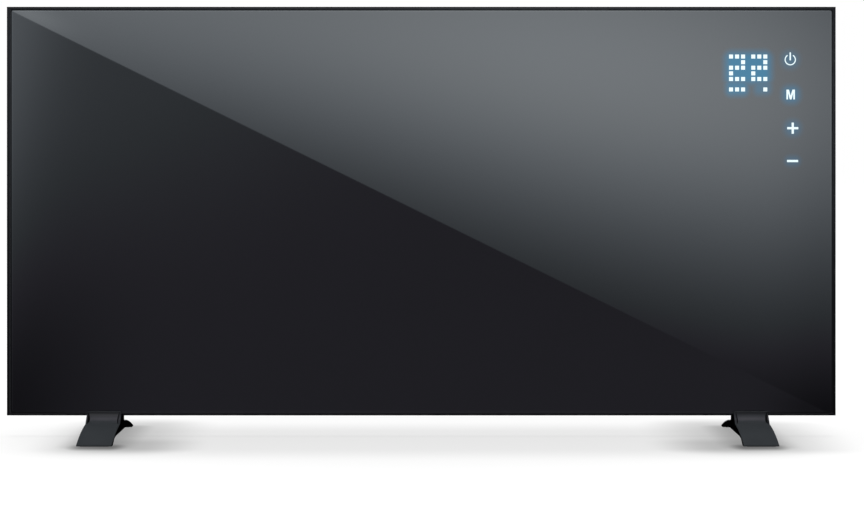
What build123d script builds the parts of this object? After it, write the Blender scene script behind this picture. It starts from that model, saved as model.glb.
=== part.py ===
from build123d import *
import os
from math import cos, hypot, radians, sin, sqrt, tan

# Infrared panel heater. A tempered glass front sits in a mitred aluminium frame, with a heating film bonded
# behind the glass, an insulated pressed-steel back, a control housing on that back and two arched feet that
# grip the lower rail.
#
# X runs along the panel and is positive to the right seen from the front. Y runs from front to back and Z
# is up. The origin lies on the floor, under the middle of the panel's width and depth. Sizes are in
# millimetres.

# Panel and frame
panel_width = 1000.0
panel_height = 493.0
panel_depth = 20.0
floor_gap = 26.0            # floor to the panel's lower edge
rail_wall = 1.4             # wall of the extruded rail
rim_width = 3.0             # front rim that shows round the glass
rail_reach = 14.0           # how far the rail reaches in from its outer face
chamber_depth = 6.0         # hollow of the rail that takes the corner key
rim_chamfer = 1.5           # bevel on the frame's outer front edge
rail_edge_radius = 0.5
key_leg = 32.0              # corner key, along each rail
key_play = 0.3

# Glass and its bond
glass_thickness = 4.0
glass_recess = 0.3          # glass behind the rim's front
glass_gap = 1.4             # joint between rim and glass, filled by the gasket
glass_corner_radius = 3.0
glass_bevel = 1.3
tape_thickness = 1.0        # bond between the glass and the rail's ledge
bead_recess = 1.1           # gasket below the rim's front

# Heating layers
film_thickness = 0.5
film_inset = 19.0           # film's edge from the frame's outer face
busbar_width = 8.0
busbar_thickness = 0.3
busbar_inset = 6.0          # busbar from the film's edge
foil_gap = 0.3
foil_thickness = 0.3
insulation_inset = 16.0
cutout_radius = 8.0         # bimetal overheat cut-out
cutout_height = 6.5
cutout_play = 1.0
cutout_reach = 300.0        # left cut-out from the panel's middle
cutout_gap = 118.0          # right cut-out from the display board's left edge
cutout_drop = 75.0          # below the panel's top
cutout_tab_spread = 3.6     # terminals either side of the middle

# Pressed-steel back
cover_thickness = 0.8
cover_play = 0.3
pan_inset = 26.0            # raised pan from the frame's outer face
pan_height = 4.0
pan_corner_radius = 14.0
vent_length = 34.0
vent_width = 3.4
vent_pitch = 52.0
vent_count = 10
vent_rise = 44.0            # lower vent row above the panel's lower edge
vent_row_pitch = 11.0
upper_vent_count = 7
bead_count = 3              # stiffening beads pressed into the pan
bead_pitch = 70.0
bead_length = 420.0
bead_width = 16.0
bead_height = 1.6
cover_screw_inset = 8.0
cover_screws_across = 6
cover_screws_up = 3
cover_screw_end_gap = 60.0  # outer screw from the panel's corner, along the rail
cover_screw_length = 5.5

# Screws: shank radius, head radius and head height
small_screw = (1.45, 3.0, 1.8)
foot_screw = (1.9, 3.8, 2.4)
screw_play = 0.3

# Threaded inserts in the back for a wall bracket
insert_spread_x = 560.0
insert_spread_z = 300.0
insert_bore_radius = 2.1
insert_body_radius = 3.4
insert_flange_radius = 5.5
insert_flange = 1.0
insert_length = 11.0
insert_clearance = 2.0      # insulation clear of the insert

# Control housing on the back
housing_inset = 36.0        # from the panel's top and right edges
housing_width = 130.0
housing_height = 200.0
housing_depth = 28.0
housing_wall = 2.2
housing_corner_radius = 12.0
housing_edge_radius = 3.0
housing_boss_radius = 4.0
housing_boss_inset = 9.0
housing_screw_length = 29.0
louvre_count = 9
louvre_pitch = 8.0
louvre_length = 60.0
louvre_width = 2.4
louvre_drop = 26.0          # first louvre below the housing's top
pass_width = 56.0           # wire opening in the back cover
pass_height = 34.0
pass_rise = 52.0            # its middle above the housing's lower edge
pass_inset = 39.0           # and from the display board's left edge
pass_corner_radius = 4.0
grommet_lip = 2.0
grommet_lip_thickness = 0.6

# Display board, lamps and touch pads behind the glass
zone_margin = 6.0           # insulation clear of the display board
board_thickness = 1.6
display_inset = 24.0        # board from the panel's right edge
display_drop = 44.0         # board from the panel's top edge
display_width = 116.0
display_height = 162.0
lamp_block_width = 52.0
lamp_block_height = 50.0
lamp_block_depth = 3.8
lamp_block_inset = 34.7     # middle of the digits from the board's left edge
lamp_block_drop = 36.0      # middle of the digits from the board's top edge
lamp_window = 5.4
lamp_size = 3.2
lamp_height = 0.9
lamp_pitch_x = 7.25
lamp_pitch_z = 6.83
digit_gap = 5.0             # extra space between the digits
status_gap = 5.4            # extra space above the lowest row
touch_radius = 6.0
touch_inset = 29.0          # touch keys from the board's right edge
touch_drop = 21.0           # first key from the board's top edge
touch_pitch = 40.5
touch_keys = 4
standoff_radius = 3.0
standoff_inset = 5.0
standoff_right_inset = 14.0 # right posts further in, clear of the cover's slope

# Power board and what it carries
power_side_gap = 14.8       # board from the housing's inner walls
power_height = 112.0
power_boss = 4.0            # boss between the housing's back wall and the board
power_rise = 20.0           # board above the housing's lower inner face
power_boss_inset = 5.0
relay_size = (29.0, 15.5, 13.0)
relay_inset = 26.5          # relay's middle from the board's left edge
relay_rise = 44.0           # and above the board's middle
supply_size = (34.0, 15.0, 24.0)
supply_inset = 32.0         # supply's middle from the board's right edge
supply_rise = 22.0
terminal_size = (44.0, 14.0, 16.0)
terminal_rise = -44.0
terminal_count = 4
fuse_radius = 2.6
fuse_length = 20.0
fuse_inset = 28.0           # from the board's left edge
fuse_rise = 2.0
tilt_size = (11.0, 13.0, 11.0)
tilt_inset = 14.0           # from the board's left edge
tilt_rise = -14.0
wire_mouth = 2.4            # half width of a terminal's wire entry

# Rocker switch in the housing's right side wall
switch_rise = 96.0          # middle of the switch above the housing's lower edge
bezel_length = 21.0
bezel_width = 15.0
bezel_height = 2.0
switch_body_length = 18.8
switch_body_width = 12.8
switch_body_depth = 12.0
switch_play = 0.1
rocker_half_length = 7.4
rocker_width = 9.8
rocker_end_rise = 4.6       # rocker's raised ends above its pivot
rocker_mid_rise = 2.9
rocker_below = 2.4
rocker_clearance = 0.25
rocker_tilt = 11.0          # degrees from level to either stop
pivot_depth = 0.6           # pivot below the housing's outer face
pivot_radius = 1.0
pivot_length = 0.9
pivot_play = 0.05
blade_size = (0.8, 4.8, 8.0)
blade_pitch = 7.0

# Cable gland in the housing's lower wall
gland_offset = 24.0         # from the housing's left edge
gland_flats = 19.0
gland_flange = 4.0
gland_thread_radius = 7.4
gland_thread_length = 9.0
gland_bore_radius = 4.8
collet_radius = 6.9
collet_length = 9.0
dome_height = 5.0
seal_radius = 5.6
seal_bore_radius = 3.5
gland_nut_length = 15.0
gland_play = 0.3
locknut_height = 3.5

# Room sensor under the housing
sensor_radius = 3.0
sensor_reach = 5.0          # below the housing
sensor_offset = 27.0        # right of the housing's middle

# Feet
left_foot_inset = 118.0     # foot's middle from the panel's left edge
right_foot_inset = 103.0    # foot's middle from the panel's right edge
foot_reach = 100.0          # tip from the middle of the panel's depth
foot_waist = 41.5           # width at the socket
foot_tip_width = 41.7
foot_tip_height = 2.0
foot_tip_radius = 1.5
blade_chamfer = 0.8
post_chamfer = 2.2          # bevel on the post's front corners
crease_reach = 29.0         # where the post meets the front blade
shoulder_height = 18.0      # top of the blade at the socket
blade_sagitta = 2.3
arch_height = 8.0           # underside above the floor
arch_back = 44.0            # level underside ends here, behind the middle
arch_front = 62.0           # and here, in front of it
rear_land = 15.0            # length that rests on the floor at the back
front_land = 11.0
toe_length = 24.2           # thin toe, from the tip to where the underside levels off
toe_thickness = 3.0
lip_wall = 3.0
lip_corner_radius = 4.0     # upper corners of the rear lip
shoulder_radius = 4.0       # between the rear lip and its blade
lip_play = 0.15
front_lip = 5.5             # front lip above the panel's lower edge
rear_lip = 17.0
throat_run = 5.0            # blade's top that runs in between the cheeks
throat_rise = 1.1           # and how far it rises over that run
throat_sagitta = 2.6        # hollow of the scoop above it
throat_cheek = 2.25         # cheek beside the scoop at the front
throat_draft = 28.0         # lean of the cheeks' inner faces, in degrees
throat_depth = 12.0
throat_lip = 1.2            # plain edge above the scoop
foot_wall = 2.8
foot_rib = 2.4
front_bays = (66.0, 47.0)   # hollows under the front blade start here, in front of the middle
rear_bay = 20.0             # spacing of the cross ribs in the rear blade
rear_bays = 3
foot_screw_spread = 24.0
foot_screw_rise = 9.0       # above the panel's lower edge
foot_screw_length = 8.0
pad_thickness = 1.4
pad_proud = 0.5
pad_margin = 4.0
pad_land_margin = 2.0

# Leads inside the back
lead_radius = 1.1
lead_bend = 2.2
lead_clearance = 1.6        # hole round a lead
heater_lead_drop = 30.0     # right lead's solder point below the display corner
earth_place = (6.0, 17.0)   # earth ring from the housing's middle and from its lower edge
earth_ring = (1.8, 4.8, 0.8)    # inner radius, outer radius and thickness
earth_screw_length = 4.0
lead_entry_rise = 15.0      # leads above the terminal block where they come through the cover
switch_lead_runs = ((3.2, 9.0), (8.2, 13.5))   # each lead's reach inwards and rise above the block
ribbon_width = 12.0
ribbon_thickness = 0.8
ribbon_step = 8.0
ribbon_level = 10.0         # level length at each end
ribbon_offset = (17.0, 3.0)     # from the middle of the wire opening
ribbon_plug = (15.0, 5.0, 5.0)  # width, depth and height of the plug at each end

# Faces and edges that several pieces share
panel_bottom = floor_gap
panel_top = floor_gap + panel_height
panel_middle = floor_gap + panel_height / 2
half_width = panel_width / 2
front_face = -panel_depth / 2
back_face = panel_depth / 2
glass_front = front_face + glass_recess
glass_back = glass_front + glass_thickness
glass_inset = rim_width + glass_gap
ledge_front = glass_back + tape_thickness
ledge_back = ledge_front + rail_wall
chamber_back = ledge_back + chamber_depth
flange_back = back_face - cover_thickness
flange_front = flange_back - rail_wall
film_back = glass_back + film_thickness
busbar_back = film_back + busbar_thickness
foil_front = busbar_back + foil_gap
foil_back = foil_front + foil_thickness
insulation_back = flange_back
pan_back = back_face + pan_height
pan_inner = pan_back - cover_thickness
lead_y = (insulation_back + pan_inner) / 2

housing_right = half_width - housing_inset
housing_left = housing_right - housing_width
housing_top = panel_top - housing_inset
housing_bottom = housing_top - housing_height
housing_back = pan_back + housing_depth
housing_x = (housing_left + housing_right) / 2
housing_z = (housing_bottom + housing_top) / 2
display_right = half_width - display_inset
display_left = display_right - display_width
display_top = panel_top - display_drop
display_bottom = display_top - display_height
board_front = glass_back + lamp_block_depth
board_back = board_front + board_thickness
pass_x = display_left + pass_inset
pass_z = housing_bottom + pass_rise
housing_y = (pan_back + housing_back) / 2
housing_floor = housing_back - housing_wall
power_width = housing_width - 2 * housing_wall - 2 * power_side_gap
switch_z = housing_bottom + switch_rise
pivot_x = housing_right - pivot_depth
gland_x = housing_left + gland_offset
sensor_x = housing_x + sensor_offset
power_back = housing_floor - power_boss
power_front = power_back - board_thickness
power_z = housing_bottom + housing_wall + power_rise + power_height / 2
terminal_z = power_z + terminal_rise
wire_y = power_front - terminal_size[1] / 2
lead_entry_z = terminal_z + terminal_size[2] / 2 + lead_entry_rise
ribbon_x = pass_x + ribbon_offset[0]
ribbon_z = pass_z + ribbon_offset[1]

socket_inner = panel_depth / 2 + lip_play
socket_outer = socket_inner + lip_wall
foot_tip = (-foot_reach, foot_tip_height)
foot_heel = (foot_reach, foot_tip_height)
foot_crease = (-crease_reach, shoulder_height)
foot_shoulder = (socket_outer, shoulder_height)
foot_lip = (-socket_outer, panel_bottom + front_lip)


def block(x_range, y_range, z_range):
    """A box between two values on each axis."""
    ranges = [sorted(pair) for pair in (x_range, y_range, z_range)]
    return Pos(*[(a + b) / 2 for a, b in ranges]) * Box(*[b - a for a, b in ranges])


def patch(u_range, v_range):
    """A rectangle between two values on each sketch axis."""
    (u0, u1), (v0, v1) = u_range, v_range
    return Pos((u0 + u1) / 2, (v0 + v1) / 2) * Rectangle(u1 - u0, v1 - v0)


def plate(outline, front, back):
    """An outline drawn in X and Z, given a thickness from front to back."""
    return extrude(Plane((0, back, 0), x_dir=(1, 0, 0), z_dir=(0, -1, 0)) * outline, amount=back - front)


def panel_outline(inset, radius=0.0):
    """The panel's rectangle, drawn in X and Z, brought in by an inset."""
    width, height = panel_width - 2 * inset, panel_height - 2 * inset
    outline = RectangleRounded(width, height, radius) if radius else Rectangle(width, height)
    return Pos(0, panel_middle) * outline


def peg(radius, start, end):
    """A cylinder between two points."""
    axis = Vector(*end) - Vector(*start)
    return extrude(Plane(origin=start, z_dir=axis) * Circle(radius), amount=axis.length)


def drilled(radius, places, front, back):
    """Cylinders from front to back at places in X and Z."""
    return [peg(radius, (x, front, z), (x, back, z)) for x, z in places]


def separate(pieces):
    """Several solids in one node."""
    return Compound(children=[solid for piece in pieces for solid in piece.solids()])


def screws(size, places, seat, length):
    """Pan-head screws that go in from the back, their heads on the seat."""
    shank, head, height = size
    pieces = []
    for x, z in places:
        cap = peg(head, (x, seat, z), (x, seat + height, z))
        cap = chamfer(cap.edges().sort_by(Axis.Y)[-1], height * 0.6)
        pieces.append(cap + peg(shank, (x, seat, z), (x, seat - length, z)))
    return separate(pieces)


# Frame

def rail_section():
    """Section of the extruded rail: first axis in from its outer face, second from front to back."""
    section = patch((0, rail_wall), (front_face, back_face))
    section += patch((0, rim_width), (front_face, ledge_front))
    section += patch((0, rail_reach), (ledge_front, chamber_back + rail_wall))
    section += patch((0, rail_reach), (flange_front, flange_back))
    outer_corners = section.vertices().group_by(Axis.X)[0].sort_by(Axis.Y)
    section = chamfer(outer_corners[0], rim_chamfer)
    outer_corners = section.vertices().group_by(Axis.X)[0].sort_by(Axis.Y)
    section = fillet(outer_corners[-1], rail_edge_radius)
    return section - patch((rail_wall, rail_reach - rail_wall), (ledge_back, chamber_back))


def cover_screw_places():
    """Places, in X and Z, of the screws round the back cover."""
    half_x = half_width - cover_screw_end_gap
    half_z = panel_height / 2 - cover_screw_end_gap
    edge_x = half_width - cover_screw_inset
    edge_z = panel_height / 2 - cover_screw_inset
    steps_x = [half_x * (2 * i / (cover_screws_across - 1) - 1) for i in range(cover_screws_across)]
    steps_z = [half_z * (2 * i / (cover_screws_up - 1) - 1) for i in range(cover_screws_up)]
    across = [(x, panel_middle + side * edge_z) for side in (-1, 1) for x in steps_x]
    upright = [(side * edge_x, panel_middle + z) for side in (-1, 1) for z in steps_z]
    return across + upright


def foot_screw_places():
    """Places, in X and Z, of the screws that hold the feet to the lower rail."""
    return [(x + side * foot_screw_spread / 2, panel_bottom + foot_screw_rise)
            for x in foot_places() for side in (-1, 1)]


def frame_rails():
    """Four rails cut at 45 degrees, with the holes for the cover's and the feet's screws."""
    w, low, high, r = half_width, panel_bottom, panel_top, rail_reach
    sides = {
        "frame_bottom": ((0, 0, low), (0, 0, 1), (-1, 0, 0),
                         [(-w, low), (w, low), (w - r, low + r), (-w + r, low + r)]),
        "frame_top": ((0, 0, high), (0, 0, -1), (1, 0, 0),
                      [(-w, high), (w, high), (w - r, high - r), (-w + r, high - r)]),
        "frame_left": ((-w, 0, panel_middle), (1, 0, 0), (0, 0, 1),
                       [(-w, low), (-w, high), (-w + r, high - r), (-w + r, low + r)]),
        "frame_right": ((w, 0, panel_middle), (-1, 0, 0), (0, 0, -1),
                        [(w, low), (w, high), (w - r, high - r), (w - r, low + r)]),
    }
    section = rail_section()
    deep = chamber_back + rail_wall
    holes = drilled(small_screw[0] + screw_play, cover_screw_places(), deep, back_face)
    holes += drilled(foot_screw[0] + screw_play, foot_screw_places(), deep, back_face)
    rails = {}
    for name, (origin, inward, along, corners) in sides.items():
        bar = extrude(Plane(origin, x_dir=inward, z_dir=along) * section, amount=half_width, both=True)
        mitre = plate(make_face(Polyline(*corners, close=True)), front_face - 1, back_face + 1)
        rails[name] = (bar & mitre) - holes
    return rails


def corner_keys():
    """L-shaped keys in the rails' hollows, one at each corner."""
    near, far = rail_wall + key_play, rail_reach - rail_wall - key_play
    y_range = (ledge_back, chamber_back - key_play)
    keys = []
    for sx, sz in [(-1, -1), (1, -1), (1, 1), (-1, 1)]:
        x, z = sx * half_width, panel_middle + sz * panel_height / 2
        level = block((x - sx * near, x - sx * key_leg), y_range, (z - sz * near, z - sz * far))
        upright = block((x - sx * near, x - sx * far), y_range, (z - sz * near, z - sz * key_leg))
        keys.append(level + upright)
    return separate(keys)


# Glass and heating layers

def front_glass():
    """Tempered glass with rounded corners and a ground bevel round its front edge."""
    pane = plate(panel_outline(glass_inset, glass_corner_radius), glass_front, glass_back)
    return chamfer(pane.edges().group_by(Axis.Y)[0], glass_bevel)


def glass_gasket():
    """One moulded ring: a bead between rim and glass, and a bonding lip between glass and ledge."""
    bead = panel_outline(rim_width) - panel_outline(glass_inset, glass_corner_radius)
    lip = panel_outline(glass_inset, glass_corner_radius) - panel_outline(rail_reach)
    return plate(bead, front_face + bead_recess, ledge_front) + plate(lip, glass_back, ledge_front)


def control_zone():
    """Outline, in X and Z, of the unheated corner behind the display."""
    return patch((display_left - zone_margin, half_width), (display_bottom - zone_margin, panel_top))


def heating_film():
    """Printed carbon film on the glass, clear of the display corner."""
    return plate(panel_outline(film_inset) - control_zone(), glass_back, film_back)


def busbar_places():
    """Left side, lower end and upper end of each copper strip on the film."""
    edge = half_width - film_inset - busbar_inset
    low = panel_bottom + film_inset + busbar_inset
    high = panel_top - film_inset - busbar_inset
    return [(-edge, low, high), (edge - busbar_width, low, display_bottom - zone_margin - busbar_inset)]


def busbars():
    """Copper strips down both ends of the film, which carry the current in and out."""
    return separate([block((x, x + busbar_width), (film_back, busbar_back), (low, high))
                     for x, low, high in busbar_places()])


def solder_places():
    """Places, in X and Z, where the two heater leads meet the busbars."""
    left, right = [x + busbar_width / 2 for x, low, high in busbar_places()]
    return [(left, cutout_places()[0][1]), (right, display_bottom - heater_lead_drop)]


def reflector_foil():
    """Foil that sends the film's heat forward, with holes for the two leads."""
    sheet = plate(panel_outline(film_inset) - control_zone(), foil_front, foil_back)
    return sheet - drilled(lead_radius + lead_clearance, solder_places(), foil_front, foil_back)


def cutout_places():
    """Places, in X and Z, of the two overheat cut-outs."""
    z = panel_top - cutout_drop
    return [(-cutout_reach, z), (display_left - cutout_gap, z)]


def insulation_board():
    """Mineral board behind the foil, with holes for cut-outs, leads and wall inserts."""
    board = plate(panel_outline(insulation_inset) - control_zone(), foil_back, insulation_back)
    board -= drilled(cutout_radius + cutout_play, cutout_places(), foil_back, insulation_back)
    board -= drilled(lead_radius + lead_clearance, solder_places(), foil_back, insulation_back)
    clear_of_inserts = insert_body_radius + insert_clearance
    return board - drilled(clear_of_inserts, insert_places(), foil_back, insulation_back)


def thermal_cutouts():
    """Disc thermostats that lie on the foil: a wide cap, a narrower body and two terminals."""
    cutouts = []
    for x, z in cutout_places():
        cap_end = foil_back + cutout_height * 0.45
        body_end = foil_back + cutout_height
        disc = peg(cutout_radius, (x, foil_back, z), (x, cap_end, z))
        disc += peg(cutout_radius * 0.8, (x, cap_end, z), (x, body_end, z))
        for side in (-1, 1):
            tab = x + side * cutout_tab_spread
            disc += block((tab - 0.4, tab + 0.4), (body_end - 1, lead_y + lead_radius), (z - 2.4, z + 2.4))
        cutouts.append(disc)
    return separate(cutouts)


# Back cover

def pan(offset):
    """The raised middle of the back cover as a solid, moved towards the front by an offset."""
    width, height = panel_width - 2 * pan_inset, panel_height - 2 * pan_inset
    outline = RectangleRounded(width, height, pan_corner_radius)
    base = Plane((0, back_face - offset, panel_middle), x_dir=(-1, 0, 0), z_dir=(0, 1, 0))
    return extrude(base * outline, amount=pan_height, taper=45)


def vent_places():
    """Middles, in X and Z, of the vent slots: two staggered rows low down and two high up."""
    places = []
    for row in range(2):
        shift = (row - 0.5) * vent_pitch / 2
        for count, z in ((vent_count, panel_bottom + vent_rise + row * vent_row_pitch),
                         (upper_vent_count, panel_top - vent_rise - row * vent_row_pitch)):
            places += [((i - (count - 1) / 2) * vent_pitch + shift, z) for i in range(count)]
    return places


def slots(places, length, width, front, back):
    """Cutters for rounded slots that lie along X."""
    return [plate(Pos(x, z) * SlotOverall(length, width), front, back) for x, z in places]


def bead(x, z, offset):
    """A pressed stiffening bead as a solid, moved towards the front by an offset."""
    base = Plane((x, pan_back - offset, z), x_dir=(-1, 0, 0), z_dir=(0, 1, 0))
    return extrude(base * SlotOverall(bead_length, bead_width), amount=bead_height, taper=45)


def back_cover():
    """Steel sheet pressed to a shallow pan, with vents, the wire opening and every screw hole."""
    flange = plate(panel_outline(rail_wall + cover_play, rail_edge_radius), flange_back, back_face)
    cover = flange + pan(0) - pan(cover_thickness)
    for i in range(bead_count):
        z = panel_middle + (i - (bead_count - 1) / 2) * bead_pitch
        cover = cover + bead(0, z, 0) - bead(0, z, cover_thickness)
    span = (flange_back - 1, pan_back + 1)
    cover -= slots(vent_places(), vent_length, vent_width, *span)
    cover -= plate(pass_outline(0), *span)
    small = cover_screw_places() + housing_boss_places() + standoff_places() + [earth_screw_place()]
    cover -= drilled(small_screw[0] + screw_play, small, *span)
    cover -= drilled(foot_screw[0] + screw_play, foot_screw_places(), *span)
    return cover - drilled(insert_body_radius + screw_play, insert_places(), *span)


def pass_outline(grown):
    """The wire opening's outline, in X and Z, made larger all round."""
    width, height = pass_width + 2 * grown, pass_height + 2 * grown
    return Pos(pass_x, pass_z) * RectangleRounded(width, height, pass_corner_radius + grown)


def wire_grommet():
    """Soft edging round the wire opening, with a lip on both faces of the sheet."""
    inner, outer = pass_outline(-grommet_lip), pass_outline(grommet_lip)
    ring = plate(pass_outline(0) - inner, pan_inner, pan_back)
    ring += plate(outer - inner, pan_back, pan_back + grommet_lip_thickness)
    return ring + plate(outer - inner, pan_inner - grommet_lip_thickness, pan_inner)


def insert_places():
    """Places, in X and Z, of the four threaded inserts for a wall bracket."""
    half_x, half_z = insert_spread_x / 2, insert_spread_z / 2
    return [(sx * half_x, panel_middle + sz * half_z) for sx in (-1, 1) for sz in (-1, 1)]


def wall_inserts():
    """Blind-rivet nuts set in the back cover, with a flange on its outer face."""
    inserts = []
    for x, z in insert_places():
        nut = peg(insert_flange_radius, (x, pan_back, z), (x, pan_back + insert_flange, z))
        nut += peg(insert_body_radius, (x, pan_back, z), (x, pan_back - insert_length, z))
        nut -= peg(insert_bore_radius, (x, pan_back - insert_length, z), (x, pan_back + insert_flange, z))
        inserts.append(nut)
    return separate(inserts)


# Control housing

def housing_boss_places():
    """Places, in X and Z, of the four bosses that the housing's screws pass through."""
    reach_x = housing_width / 2 - housing_boss_inset
    reach_z = housing_height / 2 - housing_boss_inset
    return [(housing_x + sx * reach_x, housing_z + sz * reach_z) for sx in (-1, 1) for sz in (-1, 1)]


def power_boss_places():
    """Places, in X and Z, of the bosses under the power board."""
    reach_x = power_width / 2 - power_boss_inset
    reach_z = power_height / 2 - power_boss_inset
    return [(housing_x + sx * reach_x, power_z + sz * reach_z) for sx in (-1, 1) for sz in (-1, 1)]


def control_housing():
    """Moulded box, open to the cover, with bosses, louvres and holes for switch, gland and sensor."""
    at = Pos(housing_x, housing_z)
    wall = housing_wall
    width, height, corner = housing_width, housing_height, housing_corner_radius
    inner = RectangleRounded(width - 2 * wall, height - 2 * wall, corner - wall)
    shell = plate(at * RectangleRounded(width, height, corner), pan_back, housing_back)
    shell = fillet(shell.faces().sort_by(Axis.Y)[-1].edges(), housing_edge_radius)
    shell -= plate(at * inner, pan_back, housing_floor)
    shell += drilled(housing_boss_radius, housing_boss_places(), pan_back, housing_floor)
    shell += drilled(housing_boss_radius, power_boss_places(), housing_floor - power_boss, housing_floor)
    shank_hole, head_hole = small_screw[0] + screw_play, small_screw[1] + screw_play
    shell -= drilled(shank_hole, housing_boss_places(), pan_back, housing_back)
    shell -= drilled(head_hole, housing_boss_places(), housing_floor, housing_back)
    shell -= drilled(shank_hole, power_boss_places(), housing_floor - power_boss, housing_floor)
    louvres = [(housing_x, housing_top - louvre_drop - i * louvre_pitch) for i in range(louvre_count)]
    shell -= slots(louvres, louvre_length, louvre_width, housing_floor - 1, housing_back + 1)
    half_y = switch_body_width / 2 + switch_play
    half_z = switch_body_length / 2 + switch_play
    shell -= block((housing_right - wall, housing_right), (housing_y - half_y, housing_y + half_y),
                   (switch_z - half_z, switch_z + half_z))
    shell -= peg(gland_thread_radius + gland_play, (gland_x, housing_y, housing_bottom),
                 (gland_x, housing_y, housing_bottom + wall))
    return shell - peg(sensor_radius + gland_play, (sensor_x, housing_y, housing_bottom),
                       (sensor_x, housing_y, housing_bottom + wall))


# Display board and touch keys

def standoff_places():
    """Places, in X and Z, of the posts between the display board and the cover."""
    xs = (display_left + standoff_inset, display_right - standoff_right_inset)
    zs = (display_bottom + standoff_inset, display_top - standoff_inset)
    return [(x, z) for x in xs for z in zs]


def display_board():
    """Printed board behind the glass."""
    outline = patch((display_left, display_right), (display_bottom, display_top))
    board = plate(outline, board_front, board_back)
    return board - drilled(small_screw[0] + screw_play, standoff_places(), board_front, board_back)


def board_standoffs():
    """Posts from the cover to the display board, each with a stub in both holes."""
    posts = []
    for x, z in standoff_places():
        post = peg(standoff_radius, (x, board_back, z), (x, pan_inner, z))
        posts.append(post + peg(small_screw[0], (x, board_front, z), (x, pan_back, z)))
    return separate(posts)


def lamp_cells():
    """Middles, in X and Z, of the lamp windows: two digits of three by five, and one row below them."""
    columns = [i * lamp_pitch_x + (digit_gap if i > 2 else 0) for i in range(6)]
    rows = [i * lamp_pitch_z + (status_gap if i > 4 else 0) for i in range(6)]
    left = display_left + lamp_block_inset - columns[-1] / 2
    top = display_top - lamp_block_drop + rows[-1] / 2
    return [(left + column, top - row) for column in columns for row in rows]


def lamp_block():
    """Moulded light box that keeps each lamp's light in its own window."""
    at = Pos(display_left + lamp_block_inset, display_top - lamp_block_drop)
    body = plate(at * Rectangle(lamp_block_width, lamp_block_height), glass_back, board_front)
    window = Rectangle(lamp_window, lamp_window)
    return body - [plate(Pos(*cell) * window, glass_back, board_front) for cell in lamp_cells()]


def lamp_chips():
    """Small lamps on the display board, one in each window."""
    chip = Rectangle(lamp_size, lamp_size)
    return separate([plate(Pos(*cell) * chip, board_front - lamp_height, board_front)
                     for cell in lamp_cells()])


def touch_pads():
    """Conductive foam pads that join the board's four touch keys to the glass."""
    x = display_right - touch_inset
    return separate([peg(touch_radius, (x, glass_back, z), (x, board_front, z))
                     for z in (display_top - touch_drop - i * touch_pitch for i in range(touch_keys))])


# Power board

def power_board():
    """Board on the housing's bosses, with its mounting holes."""
    board = block((housing_x - power_width / 2, housing_x + power_width / 2), (power_front, power_back),
                  (power_z - power_height / 2, power_z + power_height / 2))
    return board - drilled(small_screw[0] + screw_play, power_boss_places(), power_front, power_back)


def on_power_board(size, right, up):
    """A box that stands on the power board's front, to the right of and above the board's middle."""
    x, z = housing_x + right, power_z + up
    return block((x - size[0] / 2, x + size[0] / 2), (power_front - size[1], power_front),
                 (z - size[2] / 2, z + size[2] / 2))


def terminal_ways():
    """Middles along X of the terminal block's ways."""
    pitch = terminal_size[0] / terminal_count
    return [housing_x + (i - (terminal_count - 1) / 2) * pitch for i in range(terminal_count)]


def terminal_block():
    """Four-way block with a screw at the front and a wire entry above and below each way."""
    block_body = on_power_board(terminal_size, 0, terminal_rise)
    front = power_front - terminal_size[1]
    for x in terminal_ways():
        for side in (-1, 1):
            entry = (terminal_z + side, terminal_z + side * terminal_size[2] / 2)
            block_body -= block((x - wire_mouth, x + wire_mouth),
                                (wire_y - wire_mouth, wire_y + wire_mouth), entry)
        block_body -= peg(wire_mouth, (x, front, terminal_z), (x, front + 2.5, terminal_z))
    return block_body


def fuse():
    """Glass fuse between two end caps that stand on the board."""
    size = (fuse_length, 2 * fuse_radius + 2, 2 * fuse_radius)
    holder = on_power_board(size, fuse_inset - power_width / 2, fuse_rise)
    x, y, z = holder.center()
    half = fuse_length / 2
    caps = [block((x + side * half, x + side * (half - 4)), (y - fuse_radius - 1, power_front),
                  (z - fuse_radius - 0.6, z + fuse_radius + 0.6)) for side in (-1, 1)]
    return peg(fuse_radius, (x - half, y, z), (x + half, y, z)) + caps[0] + caps[1]


def board_modules():
    """Relay, supply and tilt switch, each a potted case with rounded corners."""
    half = power_width / 2
    cases = {"relay": on_power_board(relay_size, relay_inset - half, relay_rise),
             "supply_module": on_power_board(supply_size, half - supply_inset, supply_rise),
             "tilt_switch": on_power_board(tilt_size, tilt_inset - half, tilt_rise)}
    return {name: fillet(case.edges().filter_by(Axis.Y), 1) for name, case in cases.items()}


def board_screws():
    """Screws through the power board into the housing's bosses."""
    shank, head, height = small_screw
    return separate([peg(head, (x, power_front, z), (x, power_front - height, z))
                     + peg(shank, (x, power_front, z), (x, housing_floor - 0.5, z))
                     for x, z in power_boss_places()])


def room_sensor():
    """Thermistor bulb that looks down out of the housing's lower wall, with a collar inside it."""
    inside = housing_bottom + housing_wall
    low = housing_bottom - sensor_reach
    bulb = peg(sensor_radius, (sensor_x, housing_y, low), (sensor_x, housing_y, inside))
    bulb = fillet(bulb.edges().sort_by(Axis.Z)[0], sensor_radius * 0.9)
    return bulb + peg(sensor_radius + 1.5, (sensor_x, housing_y, inside), (sensor_x, housing_y, inside + 2))


# Rocker switch

def rocker_reach():
    """Furthest that the tilted rocker's end lies from its pivot, along the switch."""
    turn = radians(rocker_tilt)
    return rocker_half_length * cos(turn) + rocker_end_rise * sin(turn)


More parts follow.
